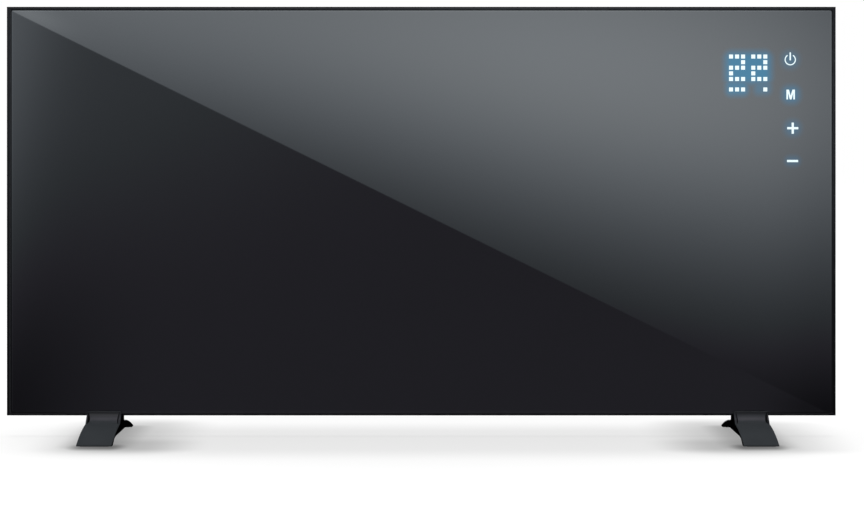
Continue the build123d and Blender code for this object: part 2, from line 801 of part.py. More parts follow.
def switch_body():
    """Snap-in body with a bezel outside the wall, a well for the rocker and two pivot holes."""
    y, z, wall = housing_y, switch_z, housing_right
    bezel = block((wall, wall + bezel_height), (y - bezel_width / 2, y + bezel_width / 2),
                  (z - bezel_length / 2, z + bezel_length / 2))
    bezel = fillet(bezel.edges().filter_by(Axis.X), 1.2)
    bezel = chamfer(bezel.edges().group_by(Axis.X)[-1], 0.5)
    half_width_y, half_length = switch_body_width / 2, switch_body_length / 2
    body = bezel + block((wall - switch_body_depth, wall), (y - half_width_y, y + half_width_y),
                         (z - half_length, z + half_length))
    half_y = rocker_width / 2 + rocker_clearance
    half_z = rocker_reach() + rocker_clearance
    turn = radians(rocker_tilt)
    depth = rocker_below * cos(turn) + rocker_half_length * sin(turn) + rocker_clearance
    body -= block((pivot_x - depth, wall + bezel_height), (y - half_y, y + half_y),
                  (z - half_z, z + half_z))
    reach = rocker_width / 2 + pivot_length + 2 * pivot_play
    return body - peg(pivot_radius + pivot_play, (pivot_x, y - reach, z), (pivot_x, y + reach, z))


def switch_rocker():
    """Dished rocker on two pivot pins, pressed in at its upper end."""
    half, end, mid, below = rocker_half_length, rocker_end_rise, rocker_mid_rise, rocker_below
    dish = ThreePointArc((end, half), (mid, 0), (end, -half))
    sides = Polyline((end, -half), (-below, -half * 0.9), (-below, half * 0.9), (end, half))
    side_view = Plane((0, 0, 0), x_dir=(1, 0, 0), z_dir=(0, -1, 0)) * make_face(dish + sides)
    level = extrude(side_view, amount=rocker_width / 2, both=True)
    reach = rocker_width / 2 + pivot_length
    level += peg(pivot_radius, (0, -reach, 0), (0, reach, 0))
    return Pos(pivot_x, housing_y, switch_z) * Rot(0, -rocker_tilt, 0) * level


def switch_blades():
    """Brass push-on blades on the back of the switch."""
    root = housing_right - switch_body_depth
    thick, width, length = blade_size
    return separate([block((root - length, root), (housing_y - width / 2, housing_y + width / 2),
                           (switch_z + i * blade_pitch - thick / 2, switch_z + i * blade_pitch + thick / 2))
                     for i in (-1, 0, 1)])


# Cable gland

def hexagon(flats, low, high):
    """A hexagonal block on the gland's axis, between two heights."""
    outline = RegularPolygon(flats / 2, 6, major_radius=False)
    return Pos(gland_x, housing_y, low) * extrude(outline, amount=high - low)


def round_block(radius, low, high):
    """A cylinder on the gland's axis, between two heights."""
    return peg(radius, (gland_x, housing_y, low), (gland_x, housing_y, high))


def gland():
    """Body, rubber seal, dome nut and locknut of the gland that the mains cord comes out of."""
    wall = housing_bottom
    inside = wall + housing_wall
    flange = wall - gland_flange
    collet = flange - collet_length
    nut_low = flange - gland_nut_length
    thread_end = wall + gland_thread_length
    body = hexagon(gland_flats, flange, wall) + round_block(gland_thread_radius, wall, thread_end)
    body += round_block(collet_radius, collet, flange)
    body -= round_block(gland_bore_radius, collet, thread_end)
    body -= round_block(seal_radius + gland_play, collet, flange)
    seal = round_block(seal_radius, collet, flange) - round_block(seal_bore_radius, collet, flange)
    dome_end = nut_low + dome_height
    dome = round_block(gland_flats / 2, nut_low, dome_end)
    dome = fillet(dome.edges().sort_by(Axis.Z)[0], dome_height - 1)
    nut = hexagon(gland_flats, dome_end, flange) + dome
    nut -= round_block(gland_bore_radius, nut_low, flange)
    nut -= round_block(collet_radius + gland_play, collet - gland_play, flange)
    locknut = hexagon(gland_flats, inside, inside + locknut_height)
    locknut -= round_block(gland_thread_radius + gland_play, inside, inside + locknut_height)
    return {"gland_body": body, "gland_seal": seal, "gland_nut": nut, "gland_locknut": locknut}


# Leads

def lead(*points):
    """A round lead along straight runs joined by tight bends."""
    run = FilletPolyline(*points, radius=lead_bend) if len(points) > 2 else Line(*points)
    return sweep(Plane(origin=run @ 0, z_dir=run % 0) * Circle(lead_radius), path=run)


def heater_leads():
    """Live side through both overheat cut-outs in turn, and neutral straight from the right busbar."""
    (left, high), (right, low) = solder_places()
    (cut_left, _), (cut_right, _) = cutout_places()
    tab = cutout_tab_spread + 0.4
    ways = terminal_ways()
    entry, floor = lead_entry_z, terminal_z + 1
    return {
        "lead_busbar_left": lead((left, busbar_back, high), (left, lead_y, high),
                                 (cut_left - tab, lead_y, high)),
        "lead_link": lead((cut_left + tab, lead_y, high), (cut_right - tab, lead_y, high)),
        "lead_live": lead((cut_right + tab, lead_y, high), (ways[0], lead_y, high),
                          (ways[0], lead_y, entry), (ways[0], wire_y, entry), (ways[0], wire_y, floor)),
        "lead_neutral": lead((right, busbar_back, low), (right, lead_y, low), (ways[1], lead_y, low),
                             (ways[1], lead_y, entry), (ways[1], wire_y, entry), (ways[1], wire_y, floor)),
    }


def switch_leads():
    """Two leads from the switch's outer blades to the terminal block."""
    ways = terminal_ways()
    tip = housing_right - switch_body_depth - blade_size[2]
    floor = terminal_z + 1
    runs = []
    for (way, side), (across, rise) in zip(((3, -1), (2, 1)), switch_lead_runs):
        z = switch_z + side * blade_pitch
        level = terminal_z + terminal_size[2] / 2 + rise
        runs.append(lead((tip, wire_y, z), (tip - across, wire_y, z), (tip - across, wire_y, level),
                         (ways[way], wire_y, level), (ways[way], wire_y, floor)))
    return separate(runs)


def earth_screw_place():
    """Place, in X and Z, of the earth screw in the cover."""
    return housing_x + earth_place[0], housing_bottom + earth_place[1]


def earth_lead():
    """Ring terminal on the cover and the lead from it to the last way."""
    x, z = earth_screw_place()
    way = terminal_ways()[3]
    ring_back = pan_back + earth_ring[2]
    ring = peg(earth_ring[1], (x, pan_back, z), (x, ring_back, z))
    ring -= peg(earth_ring[0], (x, pan_back, z), (x, ring_back, z))
    y = pan_back + lead_radius + 0.1
    start = x + small_screw[1] + 0.4
    return ring + lead((start, y, z), (way, y, z), (way, wire_y, z), (way, wire_y, terminal_z - 1))


def sensor_lead():
    """Lead from the room sensor to the foot of the power board."""
    low = housing_bottom + housing_wall + 2
    high = power_z - power_height / 2 + 4
    return lead((sensor_x, housing_y, low), (sensor_x, housing_y, high), (sensor_x, power_front, high))


def display_ribbon():
    """Flat cable from the display board through the wire opening to the power board, with two plugs."""
    z, rise, thick = ribbon_z, ribbon_step, ribbon_thickness
    run = ribbon_level
    low = [(board_back, z), (board_back + run, z), (power_front - run, z + rise), (power_front, z + rise)]
    high = [(y, level + thick) for y, level in reversed(low)]
    strip = make_face(Polyline(*low, *high, close=True))
    cable = extrude(Plane.YZ * strip, amount=ribbon_width / 2, both=True)
    width, depth, height = ribbon_plug
    for low_y, middle_z in ((board_back, z + thick / 2), (power_front - depth, z + rise + thick / 2)):
        cable += block((-width / 2, width / 2), (low_y, low_y + depth),
                       (middle_z - height / 2, middle_z + height / 2))
    return Pos(ribbon_x, 0, 0) * cable


# Feet

def foot_places():
    """Middles of the two feet along X."""
    return [-half_width + left_foot_inset, half_width - right_foot_inset]


def arc_height(y, start, end, sagitta):
    """Height at y of the arc that bulges up by a sagitta over the chord from start to end."""
    (y0, z0), (y1, z1) = sorted((start, end))
    chord = hypot(y1 - y0, z1 - z0)
    radius = (chord ** 2 / 4 + sagitta ** 2) / (2 * sagitta)
    drop = radius - sagitta
    middle_y = (y0 + y1) / 2 + (z1 - z0) / chord * drop
    middle_z = (z0 + z1) / 2 - (y1 - y0) / chord * drop
    return middle_z + sqrt(radius ** 2 - (y - middle_y) ** 2)


def front_top(y):
    """Height of the front blade's top at y."""
    return arc_height(y, foot_tip, foot_crease, blade_sagitta)


def rear_top(y):
    """Height of the rear blade's top at y."""
    return arc_height(y, foot_heel, foot_shoulder, blade_sagitta)


def foot_outline():
    """Side view in Y and Z: a post up to the front lip, the panel's socket, the rear lip and two blades."""
    toe_end = -foot_reach + front_land
    toe_top = -foot_reach + toe_length
    up = Polyline(foot_crease, foot_lip, (-socket_inner, foot_lip[1]), (-socket_inner, panel_bottom),
                  (socket_inner, panel_bottom), (socket_inner, panel_bottom + rear_lip),
                  (socket_outer, panel_bottom + rear_lip), foot_shoulder)
    under = Polyline(foot_heel, (foot_reach, pad_proud), (foot_reach - rear_land, pad_proud),
                     (arch_back, arch_height), (-arch_front, arch_height),
                     (toe_top, front_top(toe_top) - toe_thickness), (toe_end, pad_proud),
                     (-foot_reach, pad_proud), foot_tip)
    outline = make_face(up + SagittaArc(foot_shoulder, foot_heel, blade_sagitta) + under
                        + SagittaArc(foot_tip, foot_crease, blade_sagitta))
    return fillet(outline.vertices().sort_by_distance(foot_shoulder)[0], shoulder_radius)


def foot_plan():
    """Plan of a foot: parallel at the socket and flared to both tips."""
    waist, tip, neck = foot_waist / 2, foot_tip_width / 2, crease_reach
    corners = [(-waist, -neck), (-tip, -foot_reach), (tip, -foot_reach), (waist, -neck),
               (waist, neck), (tip, foot_reach), (-tip, foot_reach), (-waist, neck)]
    outline = make_face(Polyline(*corners, close=True))
    ends = outline.vertices().group_by(Axis.Y)
    return fillet([*ends[0], *ends[-1]], foot_tip_radius)


def post_plane():
    """Plane square to the post's front face, with its first axis along X and its second into the post."""
    rise = Vector(0, foot_lip[0] - foot_crease[0], foot_lip[1] - foot_crease[1])
    return Plane((0, *foot_crease), x_dir=(1, 0, 0), z_dir=rise), rise.length


def post_bevels():
    """Cutters that bevel the post's two front corners, ending in a step on the blade."""
    plane, run = post_plane()
    w, c = foot_waist / 2, post_chamfer
    corner = make_face(Polyline((w - c - 1, -1), (w + 1, -1), (w + 1, c + 1), close=True))
    return extrude(plane * (corner + mirror(corner, Plane.YZ)), amount=run + 2 * lip_wall)


def throat_cutter():
    """Scoop down the front of the post, between two cheeks with drafted sides."""
    plane, run = post_plane()
    toward_lip = Vector(*foot_lip) - Vector(*foot_crease)
    valley = Vector(*foot_crease) + Vector(throat_run, throat_rise)
    brow = Vector(*foot_lip) - toward_lip.normalized() * throat_lip
    outward = Vector(-toward_lip.Y, toward_lip.X).normalized() * 2
    edge = Polyline(valley, foot_crease, Vector(*foot_crease) + outward, brow + outward, brow)
    hollow = make_face(edge + SagittaArc(valley, brow, -throat_sagitta))
    wide = foot_waist / 2 - throat_cheek
    deep = throat_depth
    narrow = wide - deep * tan(radians(throat_draft))
    gate = make_face(Polyline((-wide - 1, -2), (wide + 1, -2), (wide, 0), (narrow, deep), (-narrow, deep),
                              (-wide, 0), close=True))
    return extrude(Plane.YZ * hollow, amount=foot_waist / 2, both=True) & extrude(plane * gate, amount=run)


def foot_pockets():
    """Hollows under a foot, between its walls, a spine and cross ribs."""
    wall, rib = foot_wall, foot_rib
    side = foot_waist / 2 - wall
    first, second = front_bays
    bays = [(a, b, front_top(a) - wall, front_top(b) - wall)
            for a, b in ((-first, -second), (-second + rib, -crease_reach))]
    back = [socket_outer + rib + i * rear_bay for i in range(rear_bays)]
    bays += [(a, a + rear_bay - rib, rear_top(a) - wall, rear_top(a + rear_bay - rib) - wall) for a in back]
    deep = panel_bottom - wall
    bays += [(-panel_depth / 2 + rib, -rib / 2, deep, deep), (rib / 2, panel_depth / 2 - rib, deep, deep)]
    cutters = []
    for a, b, high_a, high_b in bays:
        bay = Plane.YZ * make_face(Polyline((a, 0), (b, 0), (b, high_b), (a, high_a), close=True))
        hollow = extrude(bay, amount=side - rib / 2)
        cutters += [Pos(rib / 2, 0, 0) * hollow, Pos(-side, 0, 0) * hollow]
    return cutters


def pad_shapes():
    """The two rubber pads of one foot, about its own middle."""
    half = foot_waist / 2 - pad_margin
    m = pad_land_margin
    ranges = ((-foot_reach + m, -foot_reach + front_land - m), (foot_reach - rear_land + m, foot_reach - m))
    return [block((-half, half), y_range, (0, pad_thickness)) for y_range in ranges]


def on_blade_or_post(edge):
    """Whether an edge runs along the side of a blade's top or of the post's front."""
    x, y, z = edge.center()
    blade = edge.length > foot_reach * 0.5 and z > arch_height and abs(y) > crease_reach
    post = -crease_reach < y < -socket_outer and z > shoulder_height
    return abs(x) > foot_waist / 4 and (blade or post)


def foot_shape():
    """One foot about its own middle, as cast: outline, plan, bevels, throat, pockets and pad seats."""
    body = extrude(Plane.YZ * foot_outline(), amount=foot_tip_width, both=True)
    body &= extrude(foot_plan(), amount=panel_bottom + rear_lip)
    body = fillet(body.edges().filter_by(Axis.Y).group_by(Axis.Z)[-1], lip_corner_radius)
    body = chamfer([edge for edge in body.edges() if on_blade_or_post(edge)], blade_chamfer)
    body -= post_bevels()
    body -= throat_cutter()
    return body - foot_pockets() - pad_shapes()


def feet():
    """Both feet with their screw holes, their pads and the four screws."""
    shape, pads = foot_shape(), pad_shapes()
    holes = drilled(foot_screw[0] + screw_play, foot_screw_places(), socket_inner, socket_outer)
    left, right = [Pos(x, 0, 0) * shape - holes for x in foot_places()]
    return {"foot_left": left, "foot_right": right,
            "foot_pads": separate([Pos(x, 0, 0) * pad for x in foot_places() for pad in pads])}


# Every node

def all_nodes():
    nodes = frame_rails()
    nodes["corner_keys"] = corner_keys()
    nodes["front_glass"] = front_glass()
    nodes["glass_gasket"] = glass_gasket()
    nodes["heating_film"] = heating_film()
    nodes["busbars"] = busbars()
    nodes["reflector_foil"] = reflector_foil()
    nodes["insulation_board"] = insulation_board()
    nodes["thermal_cutouts"] = thermal_cutouts()
    nodes["back_cover"] = back_cover()
    nodes["cover_screws"] = screws(small_screw, cover_screw_places(), back_face, cover_screw_length)
    nodes["wire_grommet"] = wire_grommet()
    nodes["wall_inserts"] = wall_inserts()
    nodes["control_housing"] = control_housing()
    nodes["housing_screws"] = screws(small_screw, housing_boss_places(), housing_floor,
                                     housing_screw_length)
    nodes["display_board"] = display_board()
    nodes["board_standoffs"] = board_standoffs()
    nodes["lamp_block"] = lamp_block()
    nodes["lamp_chips"] = lamp_chips()
    nodes["touch_pads"] = touch_pads()
    nodes["power_board"] = power_board()
    nodes["board_screws"] = board_screws()
    nodes.update(board_modules())
    nodes["terminal_block"] = terminal_block()
    nodes["fuse"] = fuse()
    nodes["room_sensor"] = room_sensor()
    nodes["switch_body"] = switch_body()
    nodes["switch_rocker"] = switch_rocker()
    nodes["switch_blades"] = switch_blades()
    nodes.update(gland())
    nodes.update(heater_leads())
    nodes["switch_leads"] = switch_leads()
    nodes["earth_lead"] = earth_lead()
    seat = pan_back + earth_ring[2]
    nodes["earth_screw"] = screws(small_screw, [earth_screw_place()], seat, earth_screw_length)
    nodes["sensor_lead"] = sensor_lead()
    nodes["display_ribbon"] = display_ribbon()
    nodes.update(feet())
    nodes["foot_screws"] = screws(foot_screw, foot_screw_places(), socket_outer, foot_screw_length)
    return nodes


os.makedirs("parts", exist_ok=True)
for node, shape in all_nodes().items():
    export_step(shape, f"parts/{node}.step")
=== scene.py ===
import math
import bmesh
import bpy
from mathutils import Matrix, Vector


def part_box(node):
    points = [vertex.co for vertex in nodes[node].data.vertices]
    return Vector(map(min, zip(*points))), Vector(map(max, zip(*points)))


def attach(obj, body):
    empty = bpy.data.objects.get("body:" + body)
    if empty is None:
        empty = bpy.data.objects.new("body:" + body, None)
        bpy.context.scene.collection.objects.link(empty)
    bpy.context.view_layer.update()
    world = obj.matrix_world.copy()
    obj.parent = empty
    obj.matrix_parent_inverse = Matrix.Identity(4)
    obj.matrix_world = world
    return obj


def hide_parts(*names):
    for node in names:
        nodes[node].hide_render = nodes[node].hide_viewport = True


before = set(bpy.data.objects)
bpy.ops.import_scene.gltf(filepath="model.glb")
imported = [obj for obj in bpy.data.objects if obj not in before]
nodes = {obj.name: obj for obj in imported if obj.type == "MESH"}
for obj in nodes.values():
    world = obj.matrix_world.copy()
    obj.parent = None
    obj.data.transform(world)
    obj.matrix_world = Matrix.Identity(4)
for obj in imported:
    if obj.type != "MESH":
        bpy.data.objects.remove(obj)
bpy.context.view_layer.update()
print("frame loaded:", len(nodes), "nodes")

mm = 0.001
bevelSamples = 4


# nodes and colours
def toLinear(hexText):
    parts = [int(hexText[i:i + 2], 16) / 255 for i in (1, 3, 5)]
    return [c / 12.92 if c <= 0.04045 else ((c + 0.055) / 1.055) ** 2.4 for c in parts] + [1.0]


def addNode(tree, kind, inputs=None, **settings):
    node = tree.nodes.new("ShaderNode" + kind)
    for name, value in settings.items():
        setattr(node, name, value)
    for key, value in (inputs or {}).items():
        if isinstance(value, bpy.types.NodeSocket):
            tree.links.new(value, node.inputs[key])
        else:
            node.inputs[key].default_value = value
    return node


def clearTree(owner):
    # the emptied node tree of a material or a world
    owner.use_nodes = True
    owner.node_tree.nodes.clear()
    return owner.node_tree


def newMaterial(name):
    material = bpy.data.materials.new(name)
    tree = clearTree(material)
    shader = addNode(tree, "BsdfPrincipled")
    addNode(tree, "OutputMaterial", {"Surface": shader.outputs[0]})
    place = addNode(tree, "TexCoord").outputs["Object"]
    return material, tree, shader, place


def findShader(material):
    # a finish's tree, its shader and what feeds its base colour
    tree = material.node_tree
    shader = next(node for node in tree.nodes if node.type == "BSDF_PRINCIPLED")
    return tree, shader, shader.inputs["Base Color"].links[0].from_socket


def addFade(tree, place, middle, half, reach):
    # 1 inside a box round middle, fading to 0 at reach from it; lengths in mm
    middle, half = [c * mm for c in middle], [c * mm for c in half]
    away = addNode(tree, "VectorMath", {0: place, 1: middle}, operation="SUBTRACT").outputs[0]
    away = addNode(tree, "VectorMath", {0: away}, operation="ABSOLUTE").outputs[0]
    away = addNode(tree, "VectorMath", {0: away, 1: half}, operation="SUBTRACT").outputs[0]
    away = addNode(tree, "VectorMath", {0: away, 1: (0, 0, 0)}, operation="MAXIMUM").outputs[0]
    away = addNode(tree, "VectorMath", {0: away, 1: [1 / (c * mm) for c in reach]},
                   operation="MULTIPLY").outputs[0]
    away = addNode(tree, "VectorMath", {0: away}, operation="LENGTH").outputs["Value"]
    return addNode(tree, "MapRange", {"Value": away, "To Min": 1.0, "To Max": 0.0},
                   interpolation_type="SMOOTHSTEP").outputs[0]


def giveMaterial(piece, material):
    piece.data.materials.clear()
    piece.data.materials.append(material)


def newPiece(name, shape, material):
    mesh = bpy.data.meshes.new(name)
    shape.to_mesh(mesh)
    shape.free()
    mesh.materials.append(material)
    piece = bpy.data.objects.new(name, mesh)
    bpy.context.scene.collection.objects.link(piece)
    return piece


# finishes that need no more than mottle, grain and soft edges
# colours: the two ends of the mottle; mottle and grain: sizes in mm; bump: depth of the grain in mm;
# edge: radius of the softened edges in mm; stretch: how much longer the grain is along X, Y and Z
mottleStops = (0.3, 0.7)
finishes = {
    # die cast aluminium under a satin paint: even, with a faint orange peel
    "satinPaintedCasting": dict(colours=("#313437", "#35383b"), metallic=0.0, roughness=(0.42, 0.5), ior=1.5,
                                mottle=22, grain=1.6, bump=0.02, edge=0.35, specular=0.0),
    # steel sheet, polyester powder coat: fine dry texture with a low sheen
    "powderCoatedSteel": dict(colours=("#2a2b2e", "#303235"), metallic=0.0, roughness=(0.5, 0.62), ior=1.5,
                              mottle=60, grain=1.2, bump=0.05, edge=0.3),
    # ABS from a spark eroded mould: matt, pebbled
    "mouldedAbs": dict(colours=("#1d1e20", "#232427"), metallic=0.0, roughness=(0.48, 0.6), ior=1.53,
                       mottle=35, grain=0.9, bump=0.06, edge=0.4),
    # glass filled nylon of the gland, the tilt switch and the mains switch: harder, a little glossier
    "mouldedNylon": dict(colours=("#161719", "#1c1d1f"), metallic=0.0, roughness=(0.35, 0.48), ior=1.53,
                         mottle=9, grain=0.6, bump=0.02, edge=0.2),
    # zinc plated steel with a clear passivate: bright, slightly blue
    "zincPlatedSteel": dict(colours=("#aeb3b8", "#c3c6c8"), metallic=1.0, roughness=(0.28, 0.42), ior=1.5,
                            mottle=3, grain=0.5, bump=0.01, edge=0.12),
    # silicone: dead matt with a soft bloom
    "siliconeRubber": dict(colours=("#0d0e0f", "#131416"), metallic=0.0, roughness=(0.62, 0.78), ior=1.41,
                           mottle=12, grain=0.8, bump=0.02, edge=0.2, specular=0.25),
    # EPDM pads, seal and grommet: matt, slightly dusty
    "epdmRubber": dict(colours=("#141414", "#1e1e1d"), metallic=0.0, roughness=(0.75, 0.9), ior=1.5,
                       mottle=6, grain=0.7, bump=0.05, edge=0.25),
    # carbon print on polyester film: near black, silky
    "carbonFilm": dict(colours=("#141416", "#1f1f22"), metallic=0.0, roughness=(0.35, 0.5), ior=1.6,
                       mottle=14, grain=1.0, bump=0.01, edge=0.0, stretch=(6, 1, 1)),
    # rolled copper strip: warm metal with rolling lines along its length
    "rolledCopper": dict(colours=("#b87249", "#cf8a5e"), metallic=1.0, roughness=(0.25, 0.4), ior=1.5,
                         mottle=8, grain=0.6, bump=0.01, edge=0.0, stretch=(1, 1, 12)),
    # aluminium foil: bright, with creases
    "creasedFoil": dict(colours=("#c9ccce", "#dcdedf"), metallic=1.0, roughness=(0.18, 0.32), ior=1.5,
                        mottle=25, grain=9.0, bump=0.5, edge=0.0),
    # pressed mineral fibre board under a dark glass fleece: crumbly, matt
    "mineralBoard": dict(colours=("#4b4943", "#5e5b53"), metallic=0.0, roughness=(0.85, 0.97), ior=1.45,
                         mottle=7, grain=1.4, bump=0.4, edge=0.5),
    # epoxy glass laminate under a solder mask: green, glossy
    "solderMask": dict(colours=("#123a24", "#1b4a30"), metallic=0.0, roughness=(0.25, 0.4), ior=1.55,
                       mottle=5, grain=1.1, bump=0.03, edge=0.1),
    # polycarbonate of the lamps and the reflector round them: white, satin
    "whitePolycarbonate": dict(colours=("#dfe0dc", "#ecece9"), metallic=0.0, roughness=(0.35, 0.5), ior=1.58,
                               mottle=10, grain=0.8, bump=0.02, edge=0.15),
    # filled polyester of the potted relay's case: blue, slightly glossy
    "blueRelayCase": dict(colours=("#1c3f7c", "#234a8c"), metallic=0.0, roughness=(0.3, 0.42), ior=1.55,
                          mottle=8, grain=0.9, bump=0.02, edge=0.3),
    # phenolic of the cut-outs and the supply: brown black, slightly glossy
    "phenolicMoulding": dict(colours=("#1d1714", "#2a211c"), metallic=0.0, roughness=(0.3, 0.45), ior=1.6,
                             mottle=5, grain=0.7, bump=0.03, edge=0.25),
    # polyamide of the terminal block: green, satin
    "greenPolyamide": dict(colours=("#2d6e3f", "#377c49"), metallic=0.0, roughness=(0.38, 0.5), ior=1.53,
                           mottle=7, grain=0.8, bump=0.02, edge=0.25),
    # soda glass tube and plated caps of the fuse, seen as one
    "fuseGlass": dict(colours=("#c4c9c6", "#d7dbd8"), metallic=0.2, roughness=(0.08, 0.2), ior=1.5,
                      mottle=4, grain=1.2, bump=0.01, edge=0.1),
    # stamped brass of the blades and the posts: yellow metal with drawn lines
    "stampedBrass": dict(colours=("#b8973f", "#cbab55"), metallic=1.0, roughness=(0.25, 0.4), ior=1.5,
                         mottle=4, grain=0.5, bump=0.01, edge=0.08, stretch=(8, 1, 1)),
    # silicone insulation of the leads: matt, waxy
    "brownLeadSilicone": dict(colours=("#4a2a1a", "#5a3522"), metallic=0.0, roughness=(0.5, 0.65), ior=1.41,
                              mottle=9, grain=0.6, bump=0.02, edge=0.0),
    "blueLeadSilicone": dict(colours=("#1f4f9a", "#2a5dac"), metallic=0.0, roughness=(0.5, 0.65), ior=1.41,
                             mottle=9, grain=0.6, bump=0.02, edge=0.0),
    "greyLeadSilicone": dict(colours=("#8d8f90", "#9fa1a2"), metallic=0.0, roughness=(0.5, 0.65), ior=1.41,
                             mottle=9, grain=0.6, bump=0.02, edge=0.0),
    # epoxy bead of the room sensor: black, glossy
    "dippedEpoxy": dict(colours=("#0f1011", "#18191b"), metallic=0.0, roughness=(0.15, 0.3), ior=1.55,
                        mottle=3, grain=1.0, bump=0.03, edge=0.0),
}


def makeFinish(name, colours, metallic, roughness, ior, mottle, grain, bump, edge, stretch=(1, 1, 1),
               specular=0.5):
    material, tree, shader, place = newMaterial(name)
    shader.inputs["Metallic"].default_value = metallic
    shader.inputs["IOR"].default_value = ior
    shader.inputs["Specular IOR Level"].default_value = specular
    laid = addNode(tree, "Mapping", {"Vector": place, "Scale": [1 / s for s in stretch]}).outputs[0]
    cloud = addNode(tree, "TexNoise", {"Vector": laid, "Scale": 1 / (mottle * mm),
                                       "Detail": 3.0}).outputs["Fac"]
    shade = addNode(tree, "ValToRGB", {"Fac": cloud})
    for stop, at, colour in zip(shade.color_ramp.elements, mottleStops, colours):
        stop.position = at
        stop.color = toLinear(colour)
    tree.links.new(shade.outputs[0], shader.inputs["Base Color"])
    dull = addNode(tree, "MapRange", {"Value": cloud, "From Min": mottleStops[0], "From Max": mottleStops[1],
                                      "To Min": roughness[0], "To Max": roughness[1]})
    tree.links.new(dull.outputs[0], shader.inputs["Roughness"])
    fine = addNode(tree, "TexNoise", {"Vector": laid, "Scale": 1 / (grain * mm),
                                      "Detail": 2.0}).outputs["Fac"]
    relief = addNode(tree, "Bump", {"Height": fine, "Strength": 1.0, "Distance": bump * mm})
    if edge:
        soft = addNode(tree, "Bevel", {"Radius": edge * mm}, samples=bevelSamples)
        tree.links.new(soft.outputs[0], relief.inputs["Normal"])
    tree.links.new(relief.outputs[0], shader.inputs["Normal"])
    return material


finishMaterials = {name: makeFinish(name, **facts) for name, facts in finishes.items()}

# the feet carry painted shade: flanks and undersides are painted matt black, with no satin coat, and the
# satin coat over the front is painted darker under the lip and paler low in the scoop, as painted highlight
feet = {
    # the first colour is the painted shade of the flanks and undersides
    "flankShadeColour": "#050506", "satin": 0.3, "satinRoughness": 0.4,
    "front": -5.0,              # the painted shade applies in front of this, mm
    "top": 45.0,                # height of the ramp that holds them, mm
    "most": 2.0,                # strongest shade that it holds
    "flank": (0.78, 0.9),       # sideways part of the normal, from front to flank
    "under": (-0.15, -0.3),     # and upward part, from front to underside
    # heights above the floor in mm, with the coat's painted shade there; above 1 it is painted highlight
    "paintedShades": ((2, (0.82, 0.82, 0.82)), (10, (0.92, 0.92, 0.92)), (18.5, (1.0, 1.0, 1.0)),
               (20.5, (1.1, 1.06, 1.08)), (23.2, (1.8, 1.6, 1.68)), (26.3, (1.06, 0.98, 1.02)),
               (29.5, (0.56, 0.52, 0.54)), (32, (0.7, 0.7, 0.7))),
}


def paintShadeOnFeet(material):
    tree, shader, coat = findShader(material)
    spot = addNode(tree, "TexCoord").outputs
    place = addNode(tree, "SeparateXYZ", {0: spot["Object"]}).outputs
    rise = addNode(tree, "MapRange", {"Value": place[2], "From Max": feet["top"] * mm}).outputs[0]
    # painted shade and painted highlight on the front, by height
    level = addNode(tree, "ValToRGB", {"Fac": rise})
    stops = level.color_ramp.elements
    while len(stops) < len(feet["paintedShades"]):
        stops.new(1.0)
    for stop, (height, shade) in zip(stops, feet["paintedShades"]):
        stop.position = height / feet["top"]
        stop.color = [c / feet["most"] for c in shade] + [1]
    front = addNode(tree, "Math", {0: place[1], 1: feet["front"] * mm}, operation="LESS_THAN").outputs[0]
    level = addNode(tree, "Mix", {0: front, 6: [1 / feet["most"]] * 3 + [1], 7: level.outputs[0]},
                    data_type="RGBA").outputs[2]
    level = addNode(tree, "VectorMath", {0: level, "Scale": feet["most"]}, operation="SCALE").outputs[0]
    coat = addNode(tree, "VectorMath", {0: coat, 1: level}, operation="MULTIPLY").outputs[0]
    facing = addNode(tree, "SeparateXYZ", {0: spot["Normal"]}).outputs
    flank = addNode(tree, "Math", {0: facing[0]}, operation="ABSOLUTE").outputs[0]
    low, high = feet["flank"]
    flank = addNode(tree, "MapRange", {"Value": flank, "From Min": low, "From Max": high}).outputs[0]
    low, high = feet["under"]
    under = addNode(tree, "MapRange", {"Value": facing[2], "From Min": low, "From Max": high}).outputs[0]
    # painted shade on the faces that turn sideways or downwards
    paintedSideShade = addNode(tree, "Math", {0: flank, 1: under}, operation="MAXIMUM").outputs[0]
    coat = addNode(tree, "Mix", {0: paintedSideShade, 6: coat, 7: toLinear(feet["flankShadeColour"])},
                   data_type="RGBA").outputs[2]
    tree.links.new(coat, shader.inputs["Base Color"])
    satin = addNode(tree, "MapRange", {"Value": paintedSideShade, "To Min": feet["satin"], "To Max": 0.0}).outputs[0]
    tree.links.new(satin, shader.inputs["Coat Weight"])
    shader.inputs["Coat Roughness"].default_value = feet["satinRoughness"]


paintShadeOnFeet(finishMaterials["satinPaintedCasting"])

# painted light: the left and bottom runs of the gasket are painted greyer than the rest, as if lit: middle,
# half lengths and reach of the fading, in mm
gasket = {"paintedLight": "#3a3b3f", "paintedLitRuns": (((-496.3, 0, 272.5), (0.9, 50, 243), (0.1, 1, 1)),
                                           ((0, 0, 29.7), (370, 50, 0.9), (100, 1, 0.1)))}


def paintLightOnGasket(material):
    tree, shader, colour = findShader(material)
    place = addNode(tree, "TexCoord").outputs["Object"]
    for run in gasket["paintedLitRuns"]:
        # painted light on this run of the gasket
        run = addFade(tree, place, *run)
        colour = addNode(tree, "Mix", {0: run, 6: colour, 7: toLinear(gasket["paintedLight"])},
                         data_type="RGBA").outputs[2]
    tree.links.new(colour, shader.inputs["Base Color"])


paintLightOnGasket(finishMaterials["siliconeRubber"])
print("plain finishes made:", len(finishMaterials))


# black anodised aluminium: satin metal with fine die lines along each rail
# die lines are about 0.2 mm apart; drawn 0.8 mm apart so that some show
# lines, cloud, edge and depth are in mm; lineStretch: how little the lines change along the rail
anodising = {"metallic": 0.85, "lines": 0.8, "lineStretch": 0.004, "lineStops": (0.25, 0.75), "cloud": 70,
             "roughness": (0.38, 0.5), "edge": 0.25, "relief": 0.6, "depth": 0.01}
